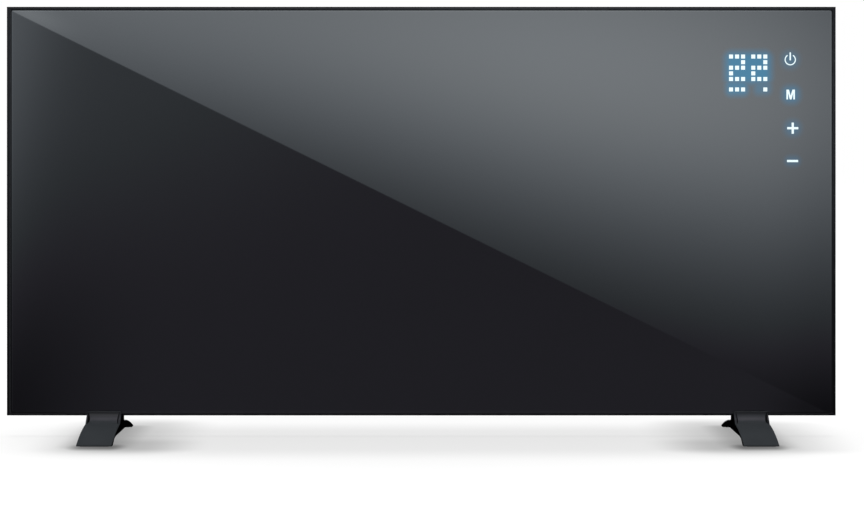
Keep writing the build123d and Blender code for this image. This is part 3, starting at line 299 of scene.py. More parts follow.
# the bottom rail's colours are painted lighter than the other rails': painted light, as if lit from below
rails = {"frame_bottom": ("x", ("#29292d", "#323236")), "frame_top": ("x", ("#121214", "#19191b")),
         "frame_left": ("z", ("#121214", "#19191b")), "frame_right": ("z", ("#121214", "#19191b"))}


def makeAnodisedRail(name, along, colours):
    material, tree, shader, place = newMaterial(name)
    shader.inputs["Metallic"].default_value = anodising["metallic"]
    thin = anodising["lineStretch"]
    stretch = (thin, 1, 1) if along == "x" else (1, 1, thin)
    lines = addNode(tree, "Mapping", {"Vector": place, "Scale": stretch}).outputs[0]
    drawn = addNode(tree, "TexNoise", {"Vector": lines, "Scale": 1 / (anodising["lines"] * mm),
                                       "Detail": 2.0}).outputs["Fac"]
    cloud = addNode(tree, "TexNoise", {"Vector": place, "Scale": 1 / (anodising["cloud"] * mm),
                                       "Detail": 2.0}).outputs["Fac"]
    shade = addNode(tree, "ValToRGB", {"Fac": drawn})
    for stop, at, colour in zip(shade.color_ramp.elements, anodising["lineStops"], colours):
        stop.position = at
        stop.color = toLinear(colour)
    tree.links.new(shade.outputs[0], shader.inputs["Base Color"])
    low, high = anodising["roughness"]
    dull = addNode(tree, "MapRange", {"Value": cloud, "To Min": low, "To Max": high})
    tree.links.new(dull.outputs[0], shader.inputs["Roughness"])
    soft = addNode(tree, "Bevel", {"Radius": anodising["edge"] * mm}, samples=bevelSamples)
    relief = addNode(tree, "Bump", {"Height": drawn, "Strength": anodising["relief"],
                                    "Distance": anodising["depth"] * mm, "Normal": soft.outputs[0]})
    tree.links.new(relief.outputs[0], shader.inputs["Normal"])
    return material


# tempered glass with black enamel fired on its back: deep gloss, with clouds of 120 mm in it
glass = {
    "ior": 1.5, "cloud": 120, "colours": ("#0b0b0d", "#0d0d10"), "roughness": (0.02, 0.035),
    "groundEdge": (1.9, 1.35),  # width of the ground edge at the sides and at the top and bottom, mm
    "sideShade": 0.8,           # width of the shadow that the side gaskets throw on it, mm
    "leftShade": 1.15,          # and how much wider it is at the left, mm
    # painted highlight: the ground edge is painted a little paler and mirrors more; how strongly it and the
    # painted shadow mirror
    "edgeHighlight": "#18191b", "edgeHighlightMirror": (1.2, 1.2, 1.2, 1), "shadeMirror": (0.3, 0.3, 0.3, 1),
}
# light that spreads in the glass round the display; it washes the red out of what the glass mirrors there
glow = {
    "colour": "#00a8ff", "strength": 0.2, "mirror": (0.54, 0.96, 1, 1),
    # middle x and z, half width and half height, reach of the fading in mm, and share
    "pools": ((394.3, 445.4, 19, 10.5, 16, 1.0), (380.8, 421, 7, 3, 12, 0.8), (411.5, 422, 4, 3, 12, 0.5),
              (445.0, 455.2, 1, 1, 16, 0.5), (446.0, 413.1, 2, 2, 15, 0.72),
              (448.0, 372.6, 1, 1, 15, 0.5), (447.8, 333.0, 3, 0, 11, 0.4)),
}


def addGlow(tree, shader, place):
    # its light, and the tint of the mirrored light
    total = None
    for x, z, halfX, halfZ, reach, share in glow["pools"]:
        light = addFade(tree, place, (x, 0, z), (halfX, 1000, halfZ), [reach] * 3)
        light = addNode(tree, "Math", {0: light, 1: share}, operation="MULTIPLY").outputs[0]
        if total:
            light = addNode(tree, "Math", {0: total, 1: light}, operation="MAXIMUM").outputs[0]
        total = light
    shader.inputs["Emission Color"].default_value = toLinear(glow["colour"])
    strength = addNode(tree, "Math", {0: total, 1: glow["strength"]}, operation="MULTIPLY").outputs[0]
    tree.links.new(strength, shader.inputs["Emission Strength"])
    return addNode(tree, "Mix", {0: total, 6: (1, 1, 1, 1), 7: glow["mirror"]}, data_type="RGBA").outputs[2]


def addGroundEdge(tree, place):
    # 1 on the ground edge, where a highlight is painted, and 1 in the side gaskets' painted shadow on it
    low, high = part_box("front_glass")
    sides, ends = glass["groundEdge"]
    lean = glass["leftShade"] / 2
    middle = (low + high) / 2 + Vector((lean, 0, 0)) * mm
    inner = (high - low) / 2 - Vector((lean + sides, 0, ends)) * mm
    over = addNode(tree, "VectorMath", {0: place, 1: middle}, operation="SUBTRACT").outputs[0]
    over = addNode(tree, "VectorMath", {0: over}, operation="ABSOLUTE").outputs[0]
    over = addNode(tree, "VectorMath", {0: over, 1: (inner.x, 1, inner.z)}, operation="SUBTRACT").outputs[0]
    over = addNode(tree, "SeparateXYZ", {0: over}).outputs
    shaded = addNode(tree, "Math", {0: over[0], 1: (sides - glass["sideShade"]) * mm},
                     operation="GREATER_THAN")
    over = addNode(tree, "Math", {0: over[0], 1: over[2]}, operation="MAXIMUM").outputs[0]
    ground = addNode(tree, "Math", {0: over, 1: 0.0}, operation="GREATER_THAN")
    return ground.outputs[0], shaded.outputs[0]


def makeEnamelledGlass():
    material, tree, shader, place = newMaterial("enamelledTemperedGlass")
    shader.inputs["IOR"].default_value = glass["ior"]
    cloud = addNode(tree, "TexNoise", {"Vector": place, "Scale": 1 / (glass["cloud"] * mm),
                                       "Detail": 3.0}).outputs["Fac"]
    shade = addNode(tree, "ValToRGB", {"Fac": cloud})
    for stop, at, colour in zip(shade.color_ramp.elements, mottleStops, glass["colours"]):
        stop.position = at
        stop.color = toLinear(colour)
    low, high = glass["roughness"]
    dull = addNode(tree, "MapRange", {"Value": cloud, "To Min": low, "To Max": high})
    tree.links.new(dull.outputs[0], shader.inputs["Roughness"])
    mirror = addGlow(tree, shader, place)
    ground, shaded = addGroundEdge(tree, place)
    # painted highlight on the ground edge, in its colour and in how strongly it mirrors, and the side
    # gaskets' painted shadow in what it mirrors
    colour = addNode(tree, "Mix", {0: ground, 6: shade.outputs[0], 7: toLinear(glass["edgeHighlight"])},
                     data_type="RGBA").outputs[2]
    tree.links.new(colour, shader.inputs["Base Color"])
    for part, its in ((ground, "edgeHighlightMirror"), (shaded, "shadeMirror")):
        mirror = addNode(tree, "Mix", {0: part, 6: mirror, 7: glass[its]}, data_type="RGBA").outputs[2]
    tree.links.new(mirror, shader.inputs["Specular Tint"])
    # its polish rounds the ground edge towards the front
    own = addNode(tree, "NewGeometry").outputs["Normal"]
    facing = addNode(tree, "Mix", {0: ground, 4: own, 5: (0, -1, 0)}, data_type="VECTOR").outputs[1]
    tree.links.new(facing, shader.inputs["Normal"])
    return material


giveMaterial(nodes["front_glass"], makeEnamelledGlass())
for name, (along, colours) in rails.items():
    giveMaterial(nodes[name], makeAnodisedRail("anodisedAluminium_" + name[6:], along, colours))

worn = {
    "corner_keys": "zincPlatedSteel", "glass_gasket": "siliconeRubber", "heating_film": "carbonFilm",
    "busbars": "rolledCopper", "reflector_foil": "creasedFoil", "insulation_board": "mineralBoard",
    "thermal_cutouts": "phenolicMoulding", "back_cover": "powderCoatedSteel",
    "cover_screws": "zincPlatedSteel", "wire_grommet": "epdmRubber", "wall_inserts": "zincPlatedSteel",
    "control_housing": "mouldedAbs", "housing_screws": "zincPlatedSteel", "display_board": "solderMask",
    "board_standoffs": "stampedBrass",
    "lamp_block": "whitePolycarbonate", "lamp_chips": "whitePolycarbonate", "touch_pads": "epdmRubber",
    "power_board": "solderMask", "board_screws": "zincPlatedSteel", "relay": "blueRelayCase",
    "supply_module": "phenolicMoulding", "tilt_switch": "mouldedNylon", "terminal_block": "greenPolyamide",
    "fuse": "fuseGlass", "room_sensor": "dippedEpoxy", "switch_body": "mouldedNylon",
    "switch_blades": "stampedBrass", "gland_body": "mouldedNylon", "gland_seal": "epdmRubber",
    "gland_nut": "mouldedNylon", "gland_locknut": "mouldedNylon", "lead_busbar_left": "brownLeadSilicone",
    "lead_link": "brownLeadSilicone", "lead_live": "brownLeadSilicone", "lead_neutral": "blueLeadSilicone",
    "switch_leads": "brownLeadSilicone", "earth_screw": "zincPlatedSteel", "sensor_lead": "greyLeadSilicone",
    "display_ribbon": "greyLeadSilicone", "foot_left": "satinPaintedCasting",
    "foot_right": "satinPaintedCasting", "foot_pads": "epdmRubber", "foot_screws": "zincPlatedSteel",
}
for name, finish in worn.items():
    giveMaterial(nodes[name], finishMaterials[finish])


# earth lead: green silicone with a yellow stripe; bands: how close the stripes are, wander: how uneven
earth = {"bands": 140.0, "wander": 0.6, "colours": ("#2f7a3a", "#d8c437"), "stops": (0.45, 0.55),
         "roughness": 0.55, "ior": 1.41}


def makeEarthSilicone():
    material, tree, shader, place = newMaterial("stripedLeadSilicone")
    stripe = addNode(tree, "TexWave", {"Vector": place, "Scale": earth["bands"],
                                       "Distortion": earth["wander"], "Detail": 1.0},
                     bands_direction="DIAGONAL").outputs["Fac"]
    shade = addNode(tree, "ValToRGB", {"Fac": stripe})
    for stop, at, colour in zip(shade.color_ramp.elements, earth["stops"], earth["colours"]):
        stop.position = at
        stop.color = toLinear(colour)
    tree.links.new(shade.outputs[0], shader.inputs["Base Color"])
    shader.inputs["Roughness"].default_value = earth["roughness"]
    shader.inputs["IOR"].default_value = earth["ior"]
    return material


giveMaterial(nodes["earth_lead"], makeEarthSilicone())


# rocker: glossy nylon with a bar and a ring printed on its outer face; lengths in mm
rocker = {"pivot": (463.4, 28.0, 379.0), "barRise": 3.9, "barHalf": (0.32, 1.5), "ringDrop": 3.9,
          "ringRadius": 1.45, "ringHalf": 0.26, "faceReach": 1.5, "print": "#e4e5e3",
          "colours": ("#151618", "#1e1f21"), "cloud": 4, "roughness": (0.25, 0.4), "ior": 1.53}


def addPrint(tree, place):
    # 1 on the bar and on the ring, on the rocker's outer face alone
    px, py, pz = [c * mm for c in rocker["pivot"]]
    bar = addNode(tree, "VectorMath", {0: place, 1: (px, py, pz + rocker["barRise"] * mm)},
                  operation="SUBTRACT")
    bar = addNode(tree, "VectorMath", {0: bar.outputs[0]}, operation="ABSOLUTE")
    bar = addNode(tree, "SeparateXYZ", {0: bar.outputs[0]})
    halfY, halfZ = [c * mm for c in rocker["barHalf"]]
    inY = addNode(tree, "Math", {0: bar.outputs[1], 1: halfY}, operation="LESS_THAN").outputs[0]
    inZ = addNode(tree, "Math", {0: bar.outputs[2], 1: halfZ}, operation="LESS_THAN").outputs[0]
    bar = addNode(tree, "Math", {0: inY, 1: inZ}, operation="MULTIPLY").outputs[0]
    ring = addNode(tree, "VectorMath", {0: place, 1: (px, py, pz - rocker["ringDrop"] * mm)},
                   operation="SUBTRACT")
    ring = addNode(tree, "VectorMath", {0: ring.outputs[0], 1: (0, 1, 1)}, operation="MULTIPLY")
    ring = addNode(tree, "VectorMath", {0: ring.outputs[0]}, operation="LENGTH").outputs["Value"]
    ring = addNode(tree, "Math", {0: ring, 1: rocker["ringRadius"] * mm, 2: rocker["ringHalf"] * mm},
                   operation="COMPARE").outputs[0]
    both = addNode(tree, "Math", {0: bar, 1: ring}, operation="MAXIMUM").outputs[0]
    outer = addNode(tree, "SeparateXYZ", {0: place}).outputs[0]
    outer = addNode(tree, "Math", {0: outer, 1: px + rocker["faceReach"] * mm},
                    operation="GREATER_THAN").outputs[0]
    return addNode(tree, "Math", {0: both, 1: outer}, operation="MULTIPLY").outputs[0]


def makePrintedRocker():
    material, tree, shader, place = newMaterial("printedNylonRocker")
    shader.inputs["IOR"].default_value = rocker["ior"]
    mark = addPrint(tree, place)
    cloud = addNode(tree, "TexNoise", {"Vector": place, "Scale": 1 / (rocker["cloud"] * mm),
                                       "Detail": 3.0}).outputs["Fac"]
    black = addNode(tree, "ValToRGB", {"Fac": cloud})
    for stop, colour in zip(black.color_ramp.elements, rocker["colours"]):
        stop.color = toLinear(colour)
    shade = addNode(tree, "Mix", {0: mark, 6: black.outputs[0], 7: toLinear(rocker["print"])},
                    data_type="RGBA")
    tree.links.new(shade.outputs[2], shader.inputs["Base Color"])
    low, high = rocker["roughness"]
    dull = addNode(tree, "MapRange", {"Value": cloud, "To Min": low, "To Max": high})
    tree.links.new(dull.outputs[0], shader.inputs["Roughness"])
    return material


giveMaterial(nodes["switch_rocker"], makePrintedRocker())
print("materials on the frame's nodes")


# lit marks: thin plates of light, barely proud of the glass
litMark = {"depth": 0.05, "colour": "#eafcfe", "strength": 0.97, "spread": (0.92, 1.08), "mottle": 2.5,
           "body": "#101214", "roughness": 0.3}
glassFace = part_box("front_glass")[0].y
markDepth = litMark["depth"] * mm


def makeLitMaterial():
    material, tree, shader, place = newMaterial("litWindow")
    # the lamps behind the windows aren't all equally bright
    grain = addNode(tree, "TexNoise", {"Vector": place, "Scale": 1 / (litMark["mottle"] * mm),
                                       "Detail": 1.0}).outputs["Fac"]
    low, high = [litMark["strength"] * share for share in litMark["spread"]]
    power = addNode(tree, "MapRange", {"Value": grain, "To Min": low, "To Max": high})
    tree.links.new(power.outputs[0], shader.inputs["Emission Strength"])
    shader.inputs["Emission Color"].default_value = toLinear(litMark["colour"])
    shader.inputs["Base Color"].default_value = toLinear(litMark["body"])
    shader.inputs["Roughness"].default_value = litMark["roughness"]
    return material


litMaterial = makeLitMaterial()


def finishPiece(name, shape, material, body="heater"):
    bmesh.ops.recalc_face_normals(shape, faces=shape.faces)
    piece = newPiece(name, shape, material)
    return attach(piece, body)


def closeMarks(name, shape):
    finishPiece(name, shape, litMaterial)


def thicken(shape, faces):
    walls = bmesh.ops.extrude_face_region(shape, geom=faces)
    moved = [v for v in walls["geom"] if isinstance(v, bmesh.types.BMVert)]
    bmesh.ops.translate(shape, verts=moved, vec=(0, -markDepth, 0))


def addOutline(shape, corners):
    # a mark from its corners, x and z in mm
    face = shape.faces.new([shape.verts.new((x * mm, glassFace, z * mm)) for x, z in corners])
    thicken(shape, [face])


def box(x, z, width, height):
    a, b = width / 2, height / 2
    return [(x - a, z - b), (x + a, z - b), (x + a, z + b), (x - a, z + b)]


# middles of the dots, in mm right of the panel's middle and above the floor
digits = {"columns": (373.6, 380.85, 388.1, 400.4, 407.65, 414.9),
          "rows": (459.0, 452.2, 445.5, 438.7, 431.9, 419.3), "dot": 4.8,
          "lit": ("xxxxxx", "  x  x", "xxxxxx", "x  x  ", "xxxxxx", "xxx  x")}   # 22, and the row under it


def makeDigits():
    shape = bmesh.new()
    for z, line in zip(digits["rows"], digits["lit"]):
        for x, dot in zip(digits["columns"], line):
            if dot == "x":
                addOutline(shape, box(x, z, digits["dot"], digits["dot"]))
    closeMarks("litDigits", shape)


# a ring that is open at the top by the gap, in degrees, to each side, and a bar in the opening
powerKey = {"place": (445.0, 455.2), "radius": 6.8, "stroke": 1.25, "gap": 31, "bar": (1.7, 9.6),
            "barRise": 4.0, "steps": 40}


def makePowerKey():
    shape = bmesh.new()
    x, z = powerKey["place"]
    start, outer = math.radians(powerKey["gap"]), powerKey["radius"]
    strip = [shape.verts.new(((x + r * math.sin(start)) * mm, glassFace, (z + r * math.cos(start)) * mm))
             for r in (outer - powerKey["stroke"], outer)]
    edge = shape.edges.new(strip)
    bmesh.ops.spin(shape, geom=[*strip, edge], cent=(x * mm, glassFace, z * mm), axis=(0, 1, 0),
                   angle=2 * math.pi - 2 * start, steps=powerKey["steps"])
    thicken(shape, shape.faces[:])
    addOutline(shape, box(x, z + powerKey["barRise"], *powerKey["bar"]))
    closeMarks("litPowerKey", shape)


# the letter: leg, half lower point and shoulder are widths as shares of its stem, free is how far up the
# legs stand free, as a share of half its height, and notch is the depth between its shoulders
modeKey = {"place": (445.5, 413.2), "width": 10.2, "height": 11.8, "stem": 2.7, "leg": 0.72, "point": 0.38,
           "shoulder": 1.12, "free": 0.35, "notch": 7.6}


def makeModeKey():
    shape = bmesh.new()
    x, z = modeKey["place"]
    half, rise, stem = modeKey["width"] / 2, modeKey["height"] / 2, modeKey["stem"]
    leg, shoulder = half - stem * modeKey["leg"], half - stem * modeKey["shoulder"]
    point, joint = stem * modeKey["point"], z + rise * modeKey["free"]
    low, high = z - rise, z + rise
    addOutline(shape, [(x - half, low), (x - leg, low), (x - leg, joint), (x - point, low), (x + point, low),
                       (x + leg, joint), (x + leg, low), (x + half, low), (x + half, high),
                       (x + shoulder, high), (x, high - modeKey["notch"]), (x - shoulder, high),
                       (x - half, high)])
    closeMarks("litModeKey", shape)


stepKeys = {"plus": (448.0, 372.6), "minus": (447.8, 333.0), "length": 13.4, "stroke": 2.7}


def makeStepKeys():
    a, b = stepKeys["length"] / 2, stepKeys["stroke"] / 2
    plus, minus = bmesh.new(), bmesh.new()
    x, z = stepKeys["plus"]
    around = ((-b, -a), (b, -a), (b, -b), (a, -b), (a, b), (b, b), (b, a), (-b, a), (-b, b), (-a, b),
              (-a, -b), (-b, -b))
    addOutline(plus, [(x + right, z + up) for right, up in around])
    addOutline(minus, box(*stepKeys["minus"], stepKeys["length"], stepKeys["stroke"]))
    closeMarks("litPlusKey", plus)
    closeMarks("litMinusKey", minus)


makeDigits()
makePowerKey()
makeModeKey()
makeStepKeys()
print("display and touch keys lit")


# cross-head screws: sizes in mm, and the head's forms as shares of its radius and height
screwHeads = {
    "cover_screws": dict(name="crossHeadCoverScrews", radius=3.0, height=1.8, shank=1.45, depth=5.5),
    "housing_screws": dict(name="crossHeadHousingScrews", radius=3.0, height=1.8, shank=1.45, depth=20.0),
    "foot_screws": dict(name="crossHeadFootScrews", radius=3.8, height=2.4, shank=1.9, depth=8.0),
}
head = {"crossReach": 0.58, "crossHalf": 0.15, "crossDepth": 0.55, "crossTaper": 0.72, "flat": 0.72,
        "rings": ((0.9, 0.16), (1.0, 0.3), (1.0, 0.54))}   # radius, and drop from the ring before it


def drawOut(shape, loop):
    drawn = bmesh.ops.extrude_edge_only(shape, edges=loop)["geom"]
    return ([g for g in drawn if isinstance(g, bmesh.types.BMVert)],
            [g for g in drawn if isinstance(g, bmesh.types.BMEdge)])


def makeCrossHead(shape, place, radius, height, shank, depth):
    # head on +Y: a five by five grid whose rim is drawn out to a circle, with a cross pressed in
    reach, half, flat = radius * head["crossReach"], radius * head["crossHalf"], radius * head["flat"]
    steps = [-flat, -reach, -half, half, reach, flat]
    made = bmesh.ops.create_grid(shape, x_segments=5, y_segments=5, size=1.0)["verts"]
    levels = sorted({round(v.co.x, 4) for v in made})
    rim = []
    for v in made:
        i, j = levels.index(round(v.co.x, 4)), levels.index(round(v.co.y, 4))
        v.co = Vector((steps[i], steps[j], 0))
        if i in (0, 5) or j in (0, 5):
            v.co = v.co.normalized() * flat
            rim.append(v)
    faces = list({f for v in made for f in v.link_faces})
    middles = {f: f.calc_center_median() for f in faces}
    cross = [f for f in faces if min(abs(middles[f].x), abs(middles[f].y)) < half / 2
             and middles[f].length < reach]
    pressed = bmesh.ops.extrude_face_region(shape, geom=cross)
    low = [v for v in pressed["geom"] if isinstance(v, bmesh.types.BMVert)]
    bmesh.ops.delete(shape, geom=cross, context="FACES_ONLY")
    bmesh.ops.translate(shape, verts=low, vec=(0, 0, -height * head["crossDepth"]))
    bmesh.ops.scale(shape, verts=low, vec=(head["crossTaper"], head["crossTaper"], 1))
    loop = [e for e in {e for v in rim for e in v.link_edges} if e.is_boundary]
    whole, last = list(made) + low, head["flat"]
    for out, drop in (*head["rings"], (shank / radius, 0.0)):
        ring, loop = drawOut(shape, loop)
        bmesh.ops.scale(shape, verts=ring, vec=(out / last, out / last, 1))
        bmesh.ops.translate(shape, verts=ring, vec=(0, 0, -height * drop))
        whole += ring
        last = out
    ring, loop = drawOut(shape, loop)
    bmesh.ops.translate(shape, verts=ring, vec=(0, 0, -depth))
    bmesh.ops.edgeloop_fill(shape, edges=loop)
    whole += ring
    turn = Matrix.Rotation(math.radians(-90), 4, "X")   # +Z to +Y
    bmesh.ops.transform(shape, verts=whole, matrix=Matrix.Translation(place) @ turn)


def headPlaces(node):
    # middles of the outer ends of the CAD node's separate screws
    copy = bmesh.new()
    copy.from_mesh(nodes[node].data)
    bmesh.ops.remove_doubles(copy, verts=copy.verts, dist=1e-6)
    left, places = set(copy.verts), []
    while left:
        island, front = set(), [left.pop()]
        while front:
            v = front.pop()
            island.add(v)
            near = {e.other_vert(v) for e in v.link_edges} - island
            left -= near
            front += list(near)
        high = max(v.co.y for v in island)
        xs, zs = [v.co.x for v in island], [v.co.z for v in island]
        places.append(Vector(((min(xs) + max(xs)) / 2, high, (min(zs) + max(zs)) / 2)))
    copy.free()
    return places


def makeScrews(node, name, **sizes):
    shape = bmesh.new()
    for place in headPlaces(node):
        makeCrossHead(shape, place, **{key: size * mm for key, size in sizes.items()})
    piece = finishPiece(name, shape, finishMaterials["zincPlatedSteel"])
    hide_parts(node)


for node, facts in screwHeads.items():
    makeScrews(node, **facts)
print("cross-head screws made")


# camera: distance from the glass and height above the floor in mm
camera = {"distance": 2740.0, "height": 345.5, "lens": 94.66, "sensor": 36, "shift": (0.0124, -0.11905),
          "clip": 100}
lens = bpy.data.cameras.new("camera")
eye = bpy.data.objects.new("camera", lens)
bpy.context.scene.collection.objects.link(eye)
eye.location = (0, glassFace - camera["distance"] * mm, camera["height"] * mm)
eye.rotation_euler = (math.radians(90), 0, 0)
lens.sensor_width = camera["sensor"]
lens.lens = camera["lens"]
lens.shift_x, lens.shift_y = camera["shift"]
lens.clip_end = camera["clip"]
bpy.context.scene.camera = eye


# stage: white floor and surroundings, lamps, and the graded card that the glass mirrors
# the floor grows white from near to far, in metres, where the lamps no longer reach, so that it runs into
# the background; sideways it does so later
stage = {"floorSize": 40.0, "floorColour": "#4d4d4d", "floorLift": 0.845, "surround": 0.22,
         "nearFloor": 0.2, "farFloor": 0.5, "sideways": 0.55}

# contact shade under the panel and at the right foot's outer side: middle x and y, half lengths and reach
# of the fading along x and y, in mm, and share
contacts = [(0, -40, 380, 75, 120, 115, 0.13), (452, -5, 8, 115, 62, 60, 0.12)]
# at each foot: a wide soft part, a closer one, one towards the tip and a small one under it, with their x
# counted inwards from near the foot's outer side
footContacts = [(34, 0, 10, 115, 100, 80, 0.28), (12, -5, 18, 95, 34, 30, 0.3),
                (54, -90, 14, 20, 85, 60, 0.19), (14, -105, 16, 8, 22, 28, 0.52)]
for side, foot in ((-1, -392), (1, 407)):
    contacts += [(foot - side * x, *rest) for x, *rest in footContacts]


def addSeen(tree):
    # 1 where the camera looks at it straight or through something clear
    path = addNode(tree, "LightPath")
    return addNode(tree, "Math", {0: path.outputs["Is Camera Ray"], 1: path.outputs["Is Transmission Ray"]},
                   operation="MAXIMUM").outputs[0]


def makeStagePiece(name, shape, material):
    piece = newPiece(name, shape, material)
    return piece


def makeFloor():
    material = bpy.data.materials.new("whiteFloor")
    tree = clearTree(material)
    seen = addSeen(tree)
    place = addNode(tree, "TexCoord").outputs["Object"]
    away = addNode(tree, "VectorMath", {0: place, 1: (stage["sideways"], 1, 0)},
                   operation="MULTIPLY").outputs[0]
    away = addNode(tree, "VectorMath", {0: away}, operation="LENGTH").outputs["Value"]
    lift = addNode(tree, "MapRange", {"Value": away, "From Min": stage["nearFloor"],
                                      "From Max": stage["farFloor"], "To Min": stage["floorLift"],
                                      "To Max": 1.0}, interpolation_type="SMOOTHSTEP")
    lift = addNode(tree, "Math", {0: seen, 1: lift.outputs[0]}, operation="MULTIPLY").outputs[0]
    keep = 1.0
    for x, y, halfX, halfY, reachX, reachY, share in contacts:
        shade = addFade(tree, place, (x, y, 0), (halfX, halfY, 1), (reachX, reachY, 1))
        shade = addNode(tree, "Math", {0: shade, 1: -share, 2: 1.0}, operation="MULTIPLY_ADD").outputs[0]
        keep = addNode(tree, "Math", {0: shade, 1: keep}, operation="MULTIPLY").outputs[0]
    lift = addNode(tree, "Math", {0: lift, 1: keep}, operation="MULTIPLY").outputs[0]
    colour = addNode(tree, "Mix", {0: keep, 6: (0, 0, 0, 1), 7: toLinear(stage["floorColour"])},
                     data_type="RGBA")
    matt = addNode(tree, "BsdfDiffuse", {"Color": colour.outputs[2]}).outputs[0]
    light = addNode(tree, "Emission", {"Strength": lift}).outputs[0]
    both = addNode(tree, "AddShader", {0: matt, 1: light}).outputs[0]
    addNode(tree, "OutputMaterial", {"Surface": both})
    shape = bmesh.new()
    bmesh.ops.create_grid(shape, x_segments=1, y_segments=1, size=stage["floorSize"] / 2)
    makeStagePiece("floor", shape, material)


def makeSurround():
    world = bpy.data.worlds.new("surround")
    bpy.context.scene.world = world
    tree = clearTree(world)
    strength = addNode(tree, "MapRange", {"Value": addSeen(tree), "To Min": stage["surround"], "To Max": 1.0})
    sky = addNode(tree, "Background", {"Color": (1, 1, 1, 1), "Strength": strength.outputs[0]})
    addNode(tree, "OutputWorld", {"Surface": sky.outputs[0]})


lamps = {
    # a softbox behind a polarising sheet: most of its light makes no gloss
    "overhead": dict(place=(0.0, 0.25, 3.2), aim=(0, 0.25, 0.2), size=(2.6, 2.0), watts=175, gloss=False),
    "overheadSheen": dict(place=(0.0, 0.25, 3.2), aim=(0, 0.25, 0.2), size=(2.6, 2.0), watts=25),
    "frontKey": dict(place=(-0.9, -4.0, 2.4), aim=(0, 0, 0.25), size=(1.6, 1.0), watts=45),
    "backKey": dict(place=(0.3, 4.0, 1.9), aim=(0, 0, 0.25), size=(1.6, 1.6), watts=60),
}


def makeLamp(name, place, aim, size, watts, gloss=True):
    lamp = bpy.data.lights.new(name, "AREA")
    lamp.shape = "RECTANGLE"
    lamp.size, lamp.size_y = size
    lamp.energy = watts
    holder = bpy.data.objects.new(name, lamp)
    bpy.context.scene.collection.objects.link(holder)
    holder.visible_glossy = gloss
    holder.location = place
    holder.rotation_euler = (Vector(aim) - Vector(place)).to_track_quat("-Z", "Y").to_euler()


# the card stands by its gap in front of the glass; places and reaches are those on the glass that mirror it
card = {
    "gap": 200.0, "low": 3.0, "high": 560.0, "half": 570.0,
    # the slanted edge between its upper and its lower part, and how soft it is to each side
    "slopeFrom": (-500.0, 517.0), "slopeTo": (500.0, 24.4), "slopeSoft": 0.4,
    "mirror": 0.04,             # share of the card's light that the glass mirrors
    "least": 0.0005,            # and the least light that it mirrors anywhere
    "upperRest": 0.0, "upper": (dict(middle=(292, 473), reach=(509, 232), turn=16.4, strength=0.1332),
                                dict(middle=(-477, 511), reach=(48, 15), turn=22.0, strength=0.045),
                                dict(middle=(500, 30), reach=(60, 90), turn=0.0, strength=-0.003),
                                dict(middle=(-700, 607), reach=(1005, 140), turn=11.4, strength=0.1234),
                                dict(middle=(503, 329), reach=(60, 174), turn=2.5, strength=-0.0197)),
    "lowerRest": 0.0128, "lower": (dict(middle=(-457, 704), reach=(75, 1245), turn=16.9, strength=0.0551),
                                   dict(middle=(-700, 350), reach=(1285, 183), turn=-19.9, strength=0.0185),
                                   dict(middle=(473, 33), reach=(50, 30), turn=0.0, strength=-0.0065),
                                   dict(middle=(-534, -3), reach=(113, 205), turn=22.2, strength=-0.0094)),
    # tint of its dark, middle and bright parts, and the levels where they change over
    "tints": ((0.94, 0.915, 1.145, 1), (0.885, 0.997, 1.118, 1), (0.925, 1.004, 1.071, 1)),
    "levels": (0.014, 0.024, 0.16),
    # it is gridded, so its light fades from straight ahead to the sides: where, and to what share
    "fade": (0.05, 0.6), "faded": 0.15,
}
cardScale = 1 + card["gap"] / camera["distance"]
cardFace = glassFace - card["gap"] * mm


def onCard(x, z):
    # a place on the glass, carried out to the card along the camera's rays
    rise = camera["height"] + (z - camera["height"]) * cardScale
    return Vector((x * cardScale * mm, cardFace, rise * mm))


def addPool(tree, place, total, middle, reach, turn, strength):
    laid = addNode(tree, "Mapping", {"Vector": place, "Location": onCard(*middle),
                                     "Rotation": (0, math.radians(turn), 0),
                                     "Scale": (reach[0] * cardScale * mm, 1, reach[1] * cardScale * mm)},
                   vector_type="TEXTURE").outputs[0]
    square = addNode(tree, "VectorMath", {0: laid, 1: laid}, operation="DOT_PRODUCT").outputs["Value"]
    fall = addNode(tree, "Math", {0: square, 1: -1.0}, operation="MULTIPLY").outputs[0]
    fall = addNode(tree, "Math", {0: fall}, operation="EXPONENT").outputs[0]
    return addNode(tree, "Math", {0: fall, 1: strength, 2: total}, operation="MULTIPLY_ADD").outputs[0]


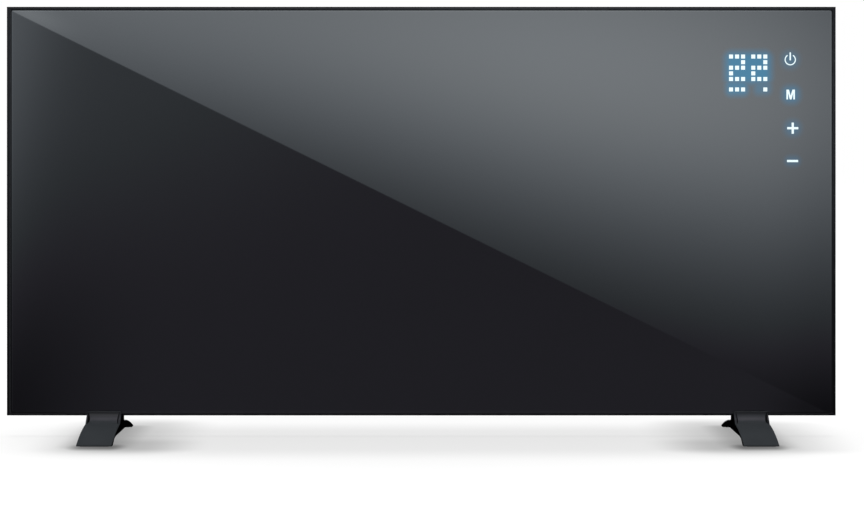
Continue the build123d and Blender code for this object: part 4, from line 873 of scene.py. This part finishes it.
def addCardLevel(tree, place):
    # light of the upper part and of the lower one, parted at the slanted edge
    upper, lower = card["upperRest"], card["lowerRest"]
    for facts in card["upper"]:
        upper = addPool(tree, place, upper, **facts)
    for facts in card["lower"]:
        lower = addPool(tree, place, lower, **facts)
    start, end = onCard(*card["slopeFrom"]), onCard(*card["slopeTo"])
    soft = card["slopeSoft"] * mm
    across = Vector((start.z - end.z, 0, end.x - start.x)).normalized()
    side = addNode(tree, "VectorMath", {0: place, 1: start}, operation="SUBTRACT").outputs[0]
    side = addNode(tree, "VectorMath", {0: side, 1: across}, operation="DOT_PRODUCT").outputs["Value"]
    side = addNode(tree, "MapRange", {"Value": side, "From Min": -soft, "From Max": soft}).outputs[0]
    level = addNode(tree, "Mix", {0: side, 2: lower, 3: upper}, data_type="FLOAT").outputs[0]
    return addNode(tree, "Math", {0: level, 1: card["least"]}, operation="MAXIMUM").outputs[0]


def makeCard():
    material = bpy.data.materials.new("gradedCard")
    tree = clearTree(material)
    level = addCardLevel(tree, addNode(tree, "TexCoord").outputs["Object"])
    strength = addNode(tree, "Math", {0: level, 1: card["mirror"]}, operation="DIVIDE").outputs[0]
    colour, tints, levels = card["tints"][0], card["tints"][1:], card["levels"]
    for low, high, tint in zip(levels, levels[1:], tints):
        change = addNode(tree, "MapRange", {"Value": level, "From Min": low, "From Max": high}).outputs[0]
        colour = addNode(tree, "Mix", {0: change, 6: colour, 7: tint}, data_type="RGBA").outputs[2]
    slant = addNode(tree, "LayerWeight", {"Blend": 0.5}).outputs["Facing"]
    near, far = card["fade"]
    slant = addNode(tree, "MapRange", {"Value": slant, "From Min": near, "From Max": far, "To Min": 1.0,
                                       "To Max": card["faded"]}, interpolation_type="SMOOTHSTEP").outputs[0]
    strength = addNode(tree, "Math", {0: strength, 1: slant}, operation="MULTIPLY").outputs[0]
    light = addNode(tree, "Emission", {"Color": colour, "Strength": strength}).outputs[0]
    addNode(tree, "OutputMaterial", {"Surface": light})
    half, low, high = card["half"] * mm, card["low"] * mm, card["high"] * mm
    shape = bmesh.new()
    shape.faces.new([shape.verts.new((x, cardFace, z))
                     for x, z in ((half, low), (-half, low), (-half, high), (half, high))])
    board = makeStagePiece("glossCard", shape, material)
    # it only shows in gloss and throws no light or shadow
    board.visible_camera = board.visible_diffuse = board.visible_shadow = False
    board.visible_transmission = board.visible_volume_scatter = False


makeFloor()
makeSurround()
for name, facts in lamps.items():
    makeLamp(name, **facts)
makeCard()
bpy.context.scene.view_settings.view_transform = "Standard"
print("stage lit")
